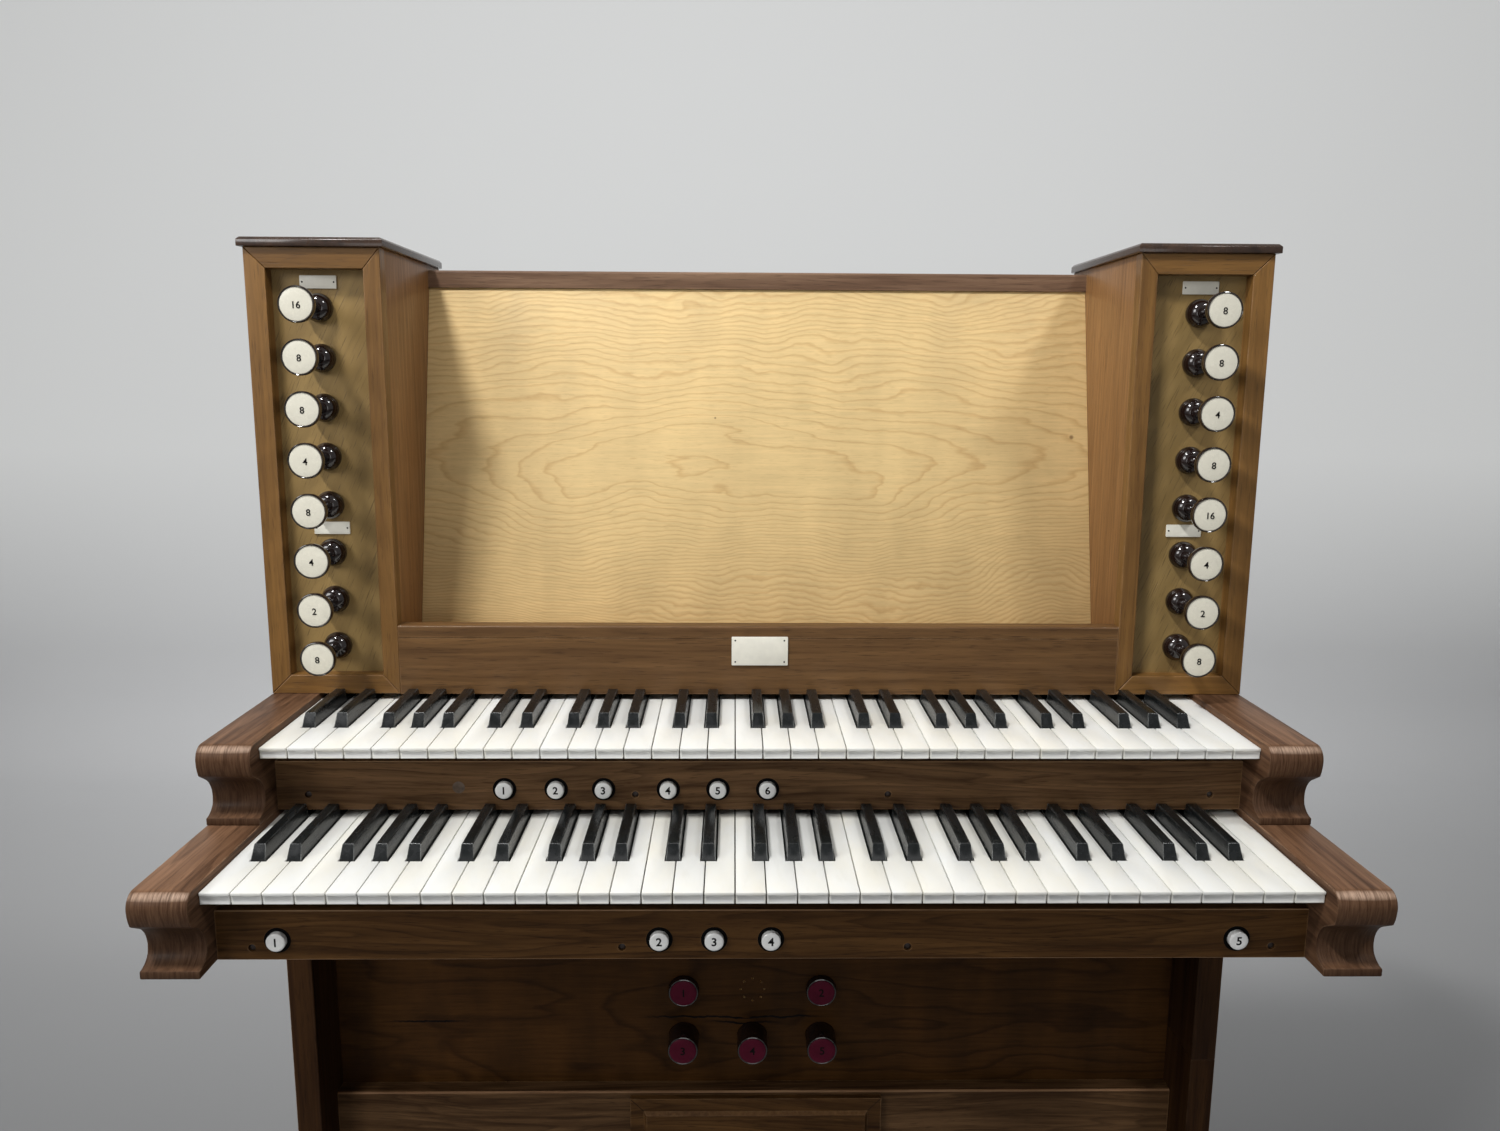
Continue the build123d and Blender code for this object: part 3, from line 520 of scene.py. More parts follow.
def walnut_finishes(dark, light):
    """The woods of the case, the rails, the cheeks and the jambs."""
    tan = (0.34, 0.20, 0.10)
    golden = {"dark": (0.118, 0.053, 0.012), "light": (0.262, 0.132, 0.036), "streaks": 170.0, "wander": 0.01,
              "roughness": 0.42, "coat": 0.1, "worn": tan, "contrast": (0.28, 0.72)}
    rail = {"turn": ALONG_X, "streaks": 130.0, "wander": 0.06, "roughness": 0.52, "worn": tan,
            "contrast": (0.34, 0.66), "specular": 0.1, "lines": 0.6}
    straight_wood("walnut_upright", dark, light, ALONG_Z, streaks=230.0, wander=0.008, coat=0.08, worn=tan,
                  contrast=(0.20, 0.80))
    straight_wood("walnut_level", dark, light, ALONG_X, wander=0.03, coat=0.08, worn=tan,
                  contrast=(0.28, 0.72))
    # A darker copy of the case walnut: painted shade on the sides below the keys
    straight_wood("shaded_side_walnut", (0.014, 0.005, 0.002), (0.048, 0.021, 0.007), ALONG_Z, streaks=130.0,
                  wander=0.015, roughness=0.5, worn=(0.12, 0.07, 0.035), specular=0.08)
    straight_wood("outer_walnut", (0.070, 0.030, 0.009), (0.260, 0.132, 0.050), ALONG_Z, streaks=200.0,
                  wander=0.008, coat=0.05, worn=tan, contrast=(0.24, 0.76))
    straight_wood("golden_upright", turn=ALONG_Z, **golden)
    straight_wood("golden_level", turn=ALONG_X, **golden)
    straight_wood("cheek_wood", (0.036, 0.014, 0.006), (0.225, 0.120, 0.066), ALONG_Y, wander=0.035,
                  worn=(0.46, 0.30, 0.19), contrast=(0.32, 0.68), nose=(0.52, 0.36, 0.26), specular=0.12,
                  lines=0.6)
    straight_wood("rail_walnut", (0.030, 0.011, 0.003), (0.148, 0.070, 0.022), **rail)
    # A lighter copy of the rail walnut: painted light on the upper rail and the lower kneeboard
    straight_wood("lit_rail_walnut", (0.056, 0.026, 0.010), (0.235, 0.128, 0.058), **rail)
    # Pale walnut for the painted highlight on rounded and sloped front edges
    straight_wood("edge_highlight_walnut", (0.230, 0.118, 0.055), (0.480, 0.290, 0.160), ALONG_X, streaks=130.0,
                  wander=0.03, roughness=0.5, specular=0.15)
    straight_wood("name_walnut", (0.063, 0.028, 0.009), (0.190, 0.098, 0.036), ALONG_X, wander=0.035,
                  coat=0.05, worn=tan, contrast=(0.33, 0.67), specular=0.2)
    straight_wood("desk_rail_walnut", (0.100, 0.050, 0.028), (0.265, 0.160, 0.098), ALONG_X, roughness=0.5,
                  worn=tan, specular=0.2)
    straight_wood("cap_polish", (0.024, 0.011, 0.006), (0.075, 0.040, 0.024), ALONG_Y, streaks=90.0,
                  roughness=0.26, coat=0.45)
    straight_wood("stop_board_veneer", (0.165, 0.098, 0.030), (0.390, 0.262, 0.098), (0, radians(66), 0),
                  streaks=26.0, wander=0.05, roughness=0.44, coat=0.1, contrast=(0.22, 0.80))
    straight_wood("inner_wood", (0.030, 0.018, 0.010), (0.080, 0.046, 0.026), ALONG_X, streaks=60.0,
                  roughness=0.6)


def board_finishes(maple, maple_line):
    """The two figured boards: cracks are given as their ends and height, knots as their place and radius."""
    desk = middle("music_desk_panel")
    knee = middle("kneeboard")
    desk_figure = {"Width": 5.0, "Rings": 1000.0, "Unrest": 9.0, "Ripple": 1.3, "Thickness": 0.0017,
                   "Folds": 0.11}
    knee_figure = {"Width": 5.0, "Rings": 170.0, "Unrest": 9.0, "Ripple": 0.7, "Thickness": 0.0052,
                   "Folds": 0.16}
    figured_wood("desk_maple", maple, maple_line, (desk.x - 0.03, 0.0, 1.165), desk_figure, strength=0.40,
                 sheen=(0.93, 1.06), fibres=0.075, knots=((0.328, 1.185, 0.0028), (-0.045, 1.203, 0.0014)))
    figured_wood("knee_walnut", (0.064, 0.026, 0.006), (0.012, 0.004, 0.001),
                 (knee.x + 0.12, 0.0, knee.z - 0.03), knee_figure, strength=0.5, sheen=(0.72, 1.22),
                 fibres=0.22, cracks=((-0.125, 0.08, 0.571), (-0.06, 0.03, 0.565), (-0.40, -0.30, 0.567)),
                 specular=0.1)


def make_finishes():
    """All finishes, made once."""
    colours = bpy.context.scene.console_colours
    walnut_finishes(tuple(colours.walnut_dark), tuple(colours.walnut_light))
    board_finishes(tuple(colours.maple_light), tuple(colours.maple_line))
    natural_finish(tuple(colours.key_white), tuple(colours.key_aged))
    sharp_finish()
    plain_finish("key_front", (0.72, 0.72, 0.70), 0.34, coat=0.1)
    plain_finish("turned_black", tuple(colours.knob_dark), 0.12, coat=0.5, mottle=0.5)
    plain_finish("knob_ivory", (0.80, 0.765, 0.64), 0.26, coat=0.3, mottle=0.08, relief=0.00002,
                 mottle_scale=90.0)
    plain_finish("piston_cover", (0.93, 0.93, 0.91), 0.26, coat=0.3, mottle=0.05)
    plain_finish("ring_black", (0.002, 0.002, 0.002), 0.6, specular=0.05)
    plain_finish("toe_cover", tuple(colours.toe_face), 0.45, mottle=0.3, specular=0.15)
    plain_finish("plate_cream", (0.88, 0.85, 0.74), 0.4, coat=0.1, mottle=0.08, relief=0.00002,
                 mottle_scale=120.0)
    plain_finish("ink", (0.010, 0.009, 0.009), 0.6, specular=0.05)
    plain_finish("sunk_screw", (0.022, 0.010, 0.006), 0.5, mottle=0.4)
    plain_finish("raw_wood", (0.75, 0.52, 0.24), 0.6, mottle=0.4)
    plain_finish("plug_wood", (0.105, 0.066, 0.040), 0.5, mottle=0.5, relief=0.0001, mottle_scale=300.0)


def finish_named(name):
    """A finish, with all of them made when the first is asked for."""
    if name not in FINISHES:
        make_finishes()
    return FINISHES[name]


# Modelling helpers
@contextmanager
def editing():
    """Edit mode for the active piece, for as long as the block lasts."""
    bpy.ops.object.mode_set(mode="EDIT")
    yield
    bpy.ops.object.mode_set(mode="OBJECT")


def deselect():
    bpy.ops.object.select_all(action="DESELECT")


def select_only(piece):
    deselect()
    piece.select_set(True)
    bpy.context.view_layer.objects.active = piece


def apply_place():
    """Puts the place, the turn and the scale of what is selected into its mesh."""
    bpy.ops.object.transform_apply(location=True, rotation=True, scale=True)


def settle(piece, name):
    """Names a finished piece and puts its place into its mesh."""
    select_only(piece)
    apply_place()
    piece.name = name
    piece.data.name = name
    return piece


def hand_in(piece, slot, *nodes, body=BODY):
    """Puts a finished piece on its body and hides the nodes that it stands for."""
    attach(piece, body)
    if nodes:
        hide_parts(*nodes)
    return piece


def paint(piece, finish, choose=None):
    """Gives a piece its first finish, or a further one to the faces that choose picks."""
    piece.data.materials.append(finish_named(finish))
    if choose:
        number = len(piece.data.materials) - 1
        for face in piece.data.polygons:
            if choose(face):
                face.material_index = number


def islands(mesh):
    """The faces of each separate solid in a mesh, as lists of face numbers."""
    parent = list(range(len(mesh.vertices)))

    def root(v):
        while parent[v] != v:
            parent[v] = parent[parent[v]]
            v = parent[v]
        return v

    for edge in mesh.edges:
        a, b = root(edge.vertices[0]), root(edge.vertices[1])
        parent[a] = b
    groups = {}
    for face in mesh.polygons:
        groups.setdefault(root(face.vertices[0]), []).append(face.index)
    return sorted(groups.values())


def extent(mesh, faces):
    """The low and the high corner of the box round some faces of a mesh."""
    corners = [mesh.vertices[v].co for i in faces for v in mesh.polygons[i].vertices]
    low = Vector([min(corner[axis] for corner in corners) for axis in range(3)])
    high = Vector([max(corner[axis] for corner in corners) for axis in range(3)])
    return low, high


def mark_boards(mesh, seed):
    """Gives each solid a number between 0 and 1, which the finishes read as the board it was cut from."""
    dice = random.Random(seed)
    tones = [0.0] * len(mesh.polygons)
    for faces in islands(mesh):
        tone = dice.random()
        for i in faces:
            tones[i] = tone
    layer = mesh.attributes.new("board", "FLOAT", "FACE")
    layer.data.foreach_set("value", tones)


def bevel(piece, width, segments=2):
    """Rounds the sharp edges of a piece."""
    select_only(piece)
    bpy.ops.object.modifier_add(type="BEVEL")
    rounding = piece.modifiers[-1]
    rounding.width = width
    rounding.segments = segments
    rounding.limit_method = "ANGLE"
    rounding.angle_limit = ROUNDED_ABOVE
    rounding.harden_normals = False
    bpy.ops.object.modifier_apply(modifier=rounding.name)
    bpy.ops.object.shade_smooth_by_angle(angle=SMOOTH_BELOW)


def cad_copy(node, name, seed, edge=0.0):
    """A merged copy of a CAD node with its edges rounded by a width and its boards told apart."""
    same_place, flat_below = 0.000005, radians(0.4)
    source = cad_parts[node]
    piece = bpy.data.objects.new(name, source.data.copy())
    piece.data.name = name
    bpy.context.scene.collection.objects.link(piece)
    piece.data.materials.clear()
    select_only(piece)
    if piece.data.has_custom_normals:
        bpy.ops.mesh.customdata_custom_splitnormals_clear()
    with editing():
        bpy.ops.mesh.select_all(action="SELECT")
        bpy.ops.mesh.remove_doubles(threshold=same_place)
        if edge:
            bpy.ops.mesh.dissolve_limited(angle_limit=flat_below)
    if edge:
        bevel(piece, edge)
    else:
        bpy.ops.object.shade_smooth_by_angle(angle=SMOOTH_BELOW)
    mark_boards(piece.data, seed)
    return piece


def dress(node, finish, slot, seed, edge=0.0):
    """One fixed CAD node shown as a copy in a single finish, with its edges rounded by a width."""
    piece = cad_copy(node, f"{node}_wood", seed, edge)
    paint(piece, finish)
    return hand_in(piece, slot, node)


def rub_edges(piece, finish="edge_highlight_walnut"):
    """Painted highlight: paler wood on the rounded or sloped front edges that run along a board."""
    def sloped(face):
        leaning = 0.3 < abs(face.normal.z) < 0.96
        return leaning and face.normal.y < 0 and abs(face.normal.x) < 0.01

    paint(piece, finish, sloped)


def turned(profile, place, sides=48):
    """A turned piece: a disc at the first depth, drawn back along +Y and scaled at each profile step."""
    depth, radius = profile[0]
    x, y, z = place
    deselect()
    bpy.ops.mesh.primitive_circle_add(vertices=sides, radius=radius, fill_type="NGON",
                                      location=(x, y + depth, z), rotation=FACING)
    piece = bpy.context.object
    apply_place()
    with editing():
        bpy.ops.mesh.select_all(action="SELECT")
        for next_depth, next_radius in profile[1:]:
            bpy.ops.mesh.extrude_region_move(TRANSFORM_OT_translate={"value": (0, next_depth - depth, 0)})
            step = next_radius / radius
            bpy.ops.transform.resize(value=(step, 1, step), center_override=(x, y + next_depth, z))
            depth, radius = next_depth, next_radius
        bpy.ops.mesh.select_all(action="SELECT")
        bpy.ops.mesh.normals_make_consistent(inside=False)
    bpy.ops.object.shade_smooth_by_angle(angle=TURNED_SMOOTH_BELOW)
    return piece


def front_of(node):
    """The middle of the front of a node's box."""
    low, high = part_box(node)
    return Vector(((low.x + high.x) / 2, low.y, (low.z + high.z) / 2))


def round_size(node):
    """The radius of a round node, and its length from front to back."""
    low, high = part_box(node)
    return (high.x - low.x) / 2, high.y - low.y


def button(node, shares, sides=48):
    """A turned button in a node's place, from its depths and the shares of its radius there."""
    radius, length = round_size(node)
    profile = [(depth, radius * share) for depth, share in shares]
    return turned(profile + [(length, radius)], front_of(node), sides)


def number_on(text, place, height, thickness=0.00012, weight=0.0):
    """A number that faces the player, as a thin raised mesh; weight makes its strokes bolder."""
    deselect()
    bpy.ops.object.text_add(location=place, rotation=FACING)
    letter = bpy.context.object
    letter.data.body = text
    letter.data.size = height
    letter.data.align_x = "CENTER"
    letter.data.align_y = "CENTER"
    letter.data.extrude = thickness
    letter.data.offset = weight
    letter.data.resolution_u = 4
    bpy.ops.object.convert(target="MESH")
    letter = bpy.context.object
    apply_place()
    paint(letter, "ink")
    return letter


def join(pieces, name):
    """Several meshes made one, under one name."""
    deselect()
    for piece in pieces:
        piece.select_set(True)
    bpy.context.view_layer.objects.active = pieces[0]
    if len(pieces) > 1:
        bpy.ops.object.join()
    return settle(bpy.context.object, name)


def copy_to(piece, shift):
    """A copy of a piece, with its own mesh, moved by a shift."""
    copy = piece.copy()
    copy.data = piece.data.copy()
    bpy.context.scene.collection.objects.link(copy)
    copy.data.transform(Matrix.Translation(shift))
    return copy


def background_rays(sheet):
    """1 for the rays that show the background: straight from the camera, mirrored, or through glass."""
    rays = sheet.add("ShaderNodeLightPath").outputs
    direct = sheet.math("MAXIMUM", rays["Is Camera Ray"], rays["Is Glossy Ray"])
    return sheet.math("MAXIMUM", direct, rays["Is Transmission Ray"])


class CONSOLE_OT_stage(bpy.types.Operator):
    """Add the floor, the backdrop, the lamps and the camera"""
    bl_idname = "console.stage"
    bl_label = "Stage"

    def execute(self, context):
        stage = context.scene.console_stage
        self.floor()
        self.lamps(stage)
        self.room(context.scene, stage.room_light)
        self.camera(stage)
        context.scene.view_settings.view_transform = "Standard"
        return {"FINISHED"}

    def floor(self):
        """A pale floor that turns up into a backdrop in a wide curve."""
        depth, height, width, curve = 7.0, 4.5, 14.0, 0.35
        deselect()
        bpy.ops.mesh.primitive_plane_add(size=1.0, location=(0, 0, 0))
        floor = bpy.context.object
        floor.scale = (width, depth, 1)
        floor.location = (0, BACKDROP_Y - depth / 2, 0)
        apply_place()
        with editing():
            bpy.ops.mesh.select_all(action="DESELECT")
        for edge in floor.data.edges:
            edge.select = all(floor.data.vertices[v].co.y > BACKDROP_Y - curve for v in edge.vertices)
        with editing():
            bpy.ops.mesh.select_mode(type="EDGE")
            bpy.ops.mesh.extrude_region_move(TRANSFORM_OT_translate={"value": (0, 0, height)})
        bevel(floor, curve, 12)
        self.paper()
        paint(floor, "studio_paper")
        settle(floor, "studio_floor")

    def paper(self):
        """Pale paper, darker near the console, and bright on the wall for the rays that show it."""
        s, shader = new_finish("studio_paper", 0.9, 0.0, 0.2)
        place = object_place(s)
        tone = s.blend(s.noise(place, 1.3, 3.0, 0.5), (0.66, 0.665, 0.675), (0.70, 0.705, 0.71))
        near = s.span(s.parts(place)[1], 0.6, 2.2, 0.45, 1.0)
        wall = s.span(s.parts(place)[2], 0.2, 1.0)
        seen = s.times(wall, background_rays(s))
        shade = s.times(near, s.span(wall, 0.0, 1.0, 1.0, 0.35))
        s.put(shader["Base Color"], s.toned(tone, shade))
        s.put(shader["Emission Color"], s.blend(seen, (0.0, 0.0, 0.0), (0.43, 0.435, 0.43)))
        shader["Emission Strength"].default_value = 1.0

    def lamps(self, stage):
        """The main lamp high on the left, a weaker one on the right, two fills, a tube, a backdrop lamp."""
        desk = Vector((0, NAME_FRONT, NAME_TOP))
        wall = Vector((0, BACKDROP_Y, 1.0))
        self.lamp("left_lamp", (-0.895, -0.967, 3.13), desk, stage.left_power, 0.4, 0.12)
        self.lamp("right_lamp", (1.305, -1.17, 3.09), desk, stage.right_power, 0.5, 0.2)
        self.lamp("left_fill", (-2.0, -1.7, 2.2), desk, stage.fill_power, 1.3, 1.0)
        self.lamp("front_fill", (0.0, -2.3, 1.2), desk, stage.front_power, 1.4, 0.7)
        self.lamp("ceiling_tube", (-0.4, 0.25, 3.3), desk, stage.ceiling_power, 1.8, 0.15)
        self.lamp("backdrop_lamp", (0, 0.7, 3.9), wall, stage.backdrop_power, 4.5, 0.6, radians(95))

    def lamp(self, name, place, aim, power, width, depth, spread=pi):
        """One soft rectangular lamp that looks at a point."""
        bpy.ops.object.light_add(type="AREA", location=place)
        lamp = bpy.context.object
        lamp.name = name
        lamp.data.shape = "RECTANGLE"
        lamp.data.size = width
        lamp.data.size_y = depth
        lamp.data.energy = power
        lamp.data.spread = spread
        lamp.rotation_euler = (aim - Vector(place)).to_track_quat("-Z", "Y").to_euler()

    def room(self, scene, room_light):
        """The even light of the room, brighter for the rays that show it."""
        seen_light = 0.35
        scene.world = scene.world or bpy.data.worlds.new("room")
        scene.world.use_nodes = True
        tree = scene.world.node_tree
        s = Sheet(tree)
        ground = tree.nodes["Background"].inputs
        ground["Color"].default_value = (0.95, 0.98, 1.0, 1.0)
        s.put(ground["Strength"], s.span(background_rays(s), 0.0, 1.0, room_light, seen_light))

    def camera(self, stage):
        """The camera at the photograph's angle: turned, tilted down and rolled."""
        sensor_width, picture_width = 36.0, 1500.0
        start = Vector((0, KEY_FRONT, KEY_TOP)) + Vector(stage.camera_place)
        bpy.ops.object.camera_add(location=start)
        camera = bpy.context.object
        camera.name = "camera"
        camera.data.sensor_width = sensor_width
        camera.data.lens = sensor_width * stage.focal_pixels / picture_width
        turn = Matrix.Rotation(-stage.camera_yaw, 4, "Z")
        tilt = Matrix.Rotation(pi / 2 - stage.camera_pitch, 4, "X")
        roll = Matrix.Rotation(stage.camera_roll, 4, "Z")
        camera.rotation_euler = (turn @ tilt @ roll).to_euler()
        bpy.context.scene.camera = camera


class CONSOLE_OT_case(bpy.types.Operator):
    """Add the sides, back, base, knee boards and access board"""
    bl_idname = "console.case"
    bl_label = "Case boards"

    def execute(self, context):
        edge = context.scene.console_sizes.board_bevel
        self.face_outside(dress("side_panels", "shaded_side_walnut", "walnut", 11, edge))
        self.face_outside(dress("right_side_foot", "shaded_side_walnut", "walnut", 12, edge))
        dress("back_panel", "walnut_level", "walnut", 13, edge)
        dress("base_board", "inner_wood", "walnut", 14, edge)
        self.kneeboard()
        rub_edges(dress("lower_kneeboard", "lit_rail_walnut", "dark_walnut", 16))
        # The access board's sloped edges get the lighter outer walnut as painted highlight
        rub_edges(dress("access_board", "rail_walnut", "dark_walnut", 17), "outer_walnut")
        self.mitres()
        return {"FINISHED"}

    def face_outside(self, piece):
        """The lighter case wood on the outer and rear faces of a side; the front edges and inner faces keep
        the darker copy, which is painted shade.
        """
        def outside(face):
            outer = abs(face.normal.x) > 0.5 and face.normal.x * face.center.x > 0
            return outer or face.normal.y > 0.5

        paint(piece, "outer_walnut", outside)

    def kneeboard(self):
        """The kneeboard, with raw wood in the ring of small screw holes."""
        ring_reach, largest_face = 0.016, 0.00002
        ring = (middle("toe_piston_1") + middle("toe_piston_2")) / 2

        def in_hole(face):
            gap = Vector((face.center.x - ring.x, 0, face.center.z - ring.z)).length
            return gap < ring_reach and face.area < largest_face and abs(face.normal.y) < 0.5

        piece = cad_copy("kneeboard", "kneeboard_wood", 15)
        paint(piece, "knee_walnut")
        paint(piece, "raw_wood", in_hole)
        hand_in(piece, "dark_walnut", "kneeboard")

    def mitres(self):
        """The dark joint lines at the upper corners of the access board's rim."""
        rim, width, rise, reach = 0.0145, 0.0005, 0.0001, 1.3
        low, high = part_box("access_board")
        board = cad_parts["access_board"].data
        front = min(v.co.y for v in board.vertices if v.co.x < low.x + rim / 2)
        lines = []
        for side, corner in ((1, low.x), (-1, high.x)):
            place = (corner + side * rim / 2, front, high.z - rim / 2)
            deselect()
            bpy.ops.mesh.primitive_cube_add(size=1.0, location=place, rotation=(0, side * radians(45), 0))
            line = bpy.context.object
            line.scale = (rim * reach, 2 * rise, width)
            lines.append(settle(line, "mitre"))
        piece = join(lines, "access_board_mitres")
        paint(piece, "ink")
        hand_in(piece, "dark_walnut")


class CONSOLE_OT_beds(bpy.types.Operator):
    """Add the key bed and the frames under the keys"""
    bl_idname = "console.beds"
    bl_label = "Key beds"

    def execute(self, context):
        for node, seed in (("key_bed", 21), ("lower_key_frame", 22), ("upper_key_bed", 23)):
            dress(node, "inner_wood", "walnut", seed, edge=0.0006)
        return {"FINISHED"}


class CONSOLE_OT_rails(bpy.types.Operator):
    """Add the piston rails, with their screws and a plug"""
    bl_idname = "console.rails"
    bl_label = "Piston rails"

    def execute(self, context):
        rub_edges(dress("lower_piston_rail", "rail_walnut", "dark_walnut", 31))
        rub_edges(dress("upper_piston_rail", "lit_rail_walnut", "dark_walnut", 32))
        self.screws()
        self.plug()
        return {"FINISHED"}

    def screws(self):
        """Sunk round screw heads along both rails."""
        profile = [(0.0, 0.0010), (0.0001, 0.0018), (0.0005, 0.0026), (0.0011, 0.0028)]
        sunk = 0.0012
        lower_z = KEY_TOP - 0.056
        upper_z = KEY_TOP + 0.019
        screws = []
        for x in (-0.396, -0.111, 0.111, 0.396):
            screws.append(turned(profile, (x, RAIL_FRONTS["lower"] + sunk, lower_z), 24))
            screws.append(turned(profile, (x, RAIL_FRONTS["upper"] + sunk, upper_z), 24))
        piece = join(screws, "rail_screws")
        paint(piece, "sunk_screw")
        hand_in(piece, "knob_black")

    def plug(self):
        """A round plug of darker wood, nearly level with the upper rail."""
        profile = [(-0.0002, 0.0048), (0.0, 0.0054), (0.0006, 0.0054)]
        place = (-0.265, RAIL_FRONTS["upper"], KEY_TOP + 0.0255)
        piece = settle(turned(profile, place, 32), "upper_rail_plug")
        paint(piece, "plug_wood")
        hand_in(piece, "dark_walnut")


class CONSOLE_OT_cheeks(bpy.types.Operator):
    """Add the shaped key cheeks"""
    bl_idname = "console.cheeks"
    bl_label = "Key cheeks"

    def execute(self, context):
        for node, seed in (("lower_key_cheeks", 41), ("upper_key_cheeks", 42)):
            self.mark_nose(dress(node, "cheek_wood", "red_walnut", seed, edge=0.0011))
        return {"FINISHED"}

    def mark_nose(self, piece):
        """Marks the part of the cheeks above the quirk, where hands have rubbed the round nose and the
        painted highlight goes; the part below gets painted shade.
        """
        nose_depth = 0.030
        quirk = max(v.co.z for v in piece.data.vertices) - nose_depth
        zone = piece.data.attributes.new("nose_zone", "FLOAT", "POINT")
        zone.data.foreach_set("value", [float(v.co.z > quirk) for v in piece.data.vertices])


class CONSOLE_OT_naturals(bpy.types.Operator):
    """Add the naturals of both manuals"""
    bl_idname = "console.naturals"
    bl_label = "Naturals"

    def execute(self, context):
        edge = context.scene.console_sizes.key_bevel
        for node, seed in (("lower_naturals", 51), ("upper_naturals", 52)):
            piece = cad_copy(node, f"{node}_covered", seed, edge)
            paint(piece, "natural_covers")
            self.sink_fronts(piece)
            paint(piece, "key_front", lambda face: face.select)
            hand_in(piece, "natural_cover", node)
        return {"FINISHED"}

    def sink_fronts(self, piece):
        """The front of each natural, sunk a little inside a narrow rim and left selected."""
        rim, sink, smallest, upright = 0.0009, 0.0005, 0.00008, 0.99
        faces = piece.data.polygons
        fronts = [face.index for face in faces if face.normal.y < -upright and face.area > smallest]
        with editing():
            bpy.ops.mesh.select_all(action="DESELECT")
            bpy.ops.mesh.select_mode(type="FACE")
        for i in fronts:
            piece.data.polygons[i].select = True
        with editing():
            bpy.ops.mesh.inset(thickness=rim, depth=-sink, use_individual=True)


class CONSOLE_OT_sharps(bpy.types.Operator):
    """Add the sharps of both manuals"""
    bl_idname = "console.sharps"
    bl_label = "Sharps"

    def execute(self, context):
        for node, seed in (("lower_sharps", 61), ("upper_sharps", 62)):
            piece = cad_copy(node, f"{node}_covered", seed)
            paint(piece, "sharp_covers")
            hand_in(piece, "sharp_cover", node)
        return {"FINISHED"}


class CONSOLE_OT_nameboard(bpy.types.Operator):
    """Add the nameboard and the bare plates with their pins"""
    bl_idname = "console.nameboard"
    bl_label = "Nameboard and plates"

    def execute(self, context):
        dress("nameboard", "name_walnut", "dark_walnut", 71)
        self.pins(dress("label_plates", "plate_cream", "plate_white", 72, edge=0.0003))
        return {"FINISHED"}

    def pins(self, plates):
        """Small dark pins in the corners of the nameplate and at the ends of the four labels."""
        profile = [(-0.00025, 0.0004), (-0.0002, 0.0007), (0.0001, 0.0009)]
        corner_margin, end_margin, label_height = 0.0035, 0.0023, 0.015
        pins = []
        for faces in islands(plates.data):
            low, high = extent(plates.data, faces)
            is_label = high.z - low.z < label_height
            margin = end_margin if is_label else corner_margin
            levels = ((low.z + high.z) / 2,) if is_label else (low.z + margin, high.z - margin)
            for x in (low.x + margin, high.x - margin):
                for z in levels:
                    pins.append(turned(profile, (x, low.y, z), 16))
        piece = join(pins, "plate_pins")
        paint(piece, "ink")
        hand_in(piece, "knob_black")


class CONSOLE_OT_desk(bpy.types.Operator):
    """Add the music desk with its rail and ledge"""
    bl_idname = "console.desk"
    bl_label = "Music desk"

    def execute(self, context):
        edge = context.scene.console_sizes.board_bevel
        dress("music_desk_panel", "desk_maple", "maple", 81, edge=0.0005)
        dress("music_desk_rail", "desk_rail_walnut", "dark_walnut", 82)
        dress("desk_ledge", "walnut_level", "walnut", 83, edge)
        return {"FINISHED"}


class CONSOLE_OT_jambs(bpy.types.Operator):
    """Add the stop jambs: cases, mitred frames, stop boards and caps"""
    bl_idname = "console.jambs"
    bl_label = "Stop jambs"

    def execute(self, context):
        edge = context.scene.console_sizes.board_bevel
        dress("jamb_cases", "walnut_upright", "walnut", 91, edge)
        dress("stop_boards", "stop_board_veneer", "olive_walnut", 93)
        dress("jamb_caps", "cap_polish", "cap_walnut", 94, edge=0.0004)
        self.frames()
        return {"FINISHED"}

    def frames(self):
        """The frame members, each with the grain along its own length."""
        piece = cad_copy("jamb_frames", "jamb_frames_wood", 92)
        level = set()
        for faces in islands(piece.data):
            low, high = extent(piece.data, faces)
            if high.z - low.z <= high.x - low.x:
                level.update(faces)
        paint(piece, "golden_upright")
        paint(piece, "golden_level", lambda face: face.index in level)
        hand_in(piece, "golden_walnut", "jamb_frames")


PITCHES = {
    "left": ("16", "8", "8", "4", "8", "4", "2", "8"),
    "right": ("8", "8", "4", "8", "16", "4", "2", "8"),
}
DRAWSTOPS = {f"{side}_drawstop_{n}": pitch for side, row in PITCHES.items() for n, pitch in enumerate(row, 1)}


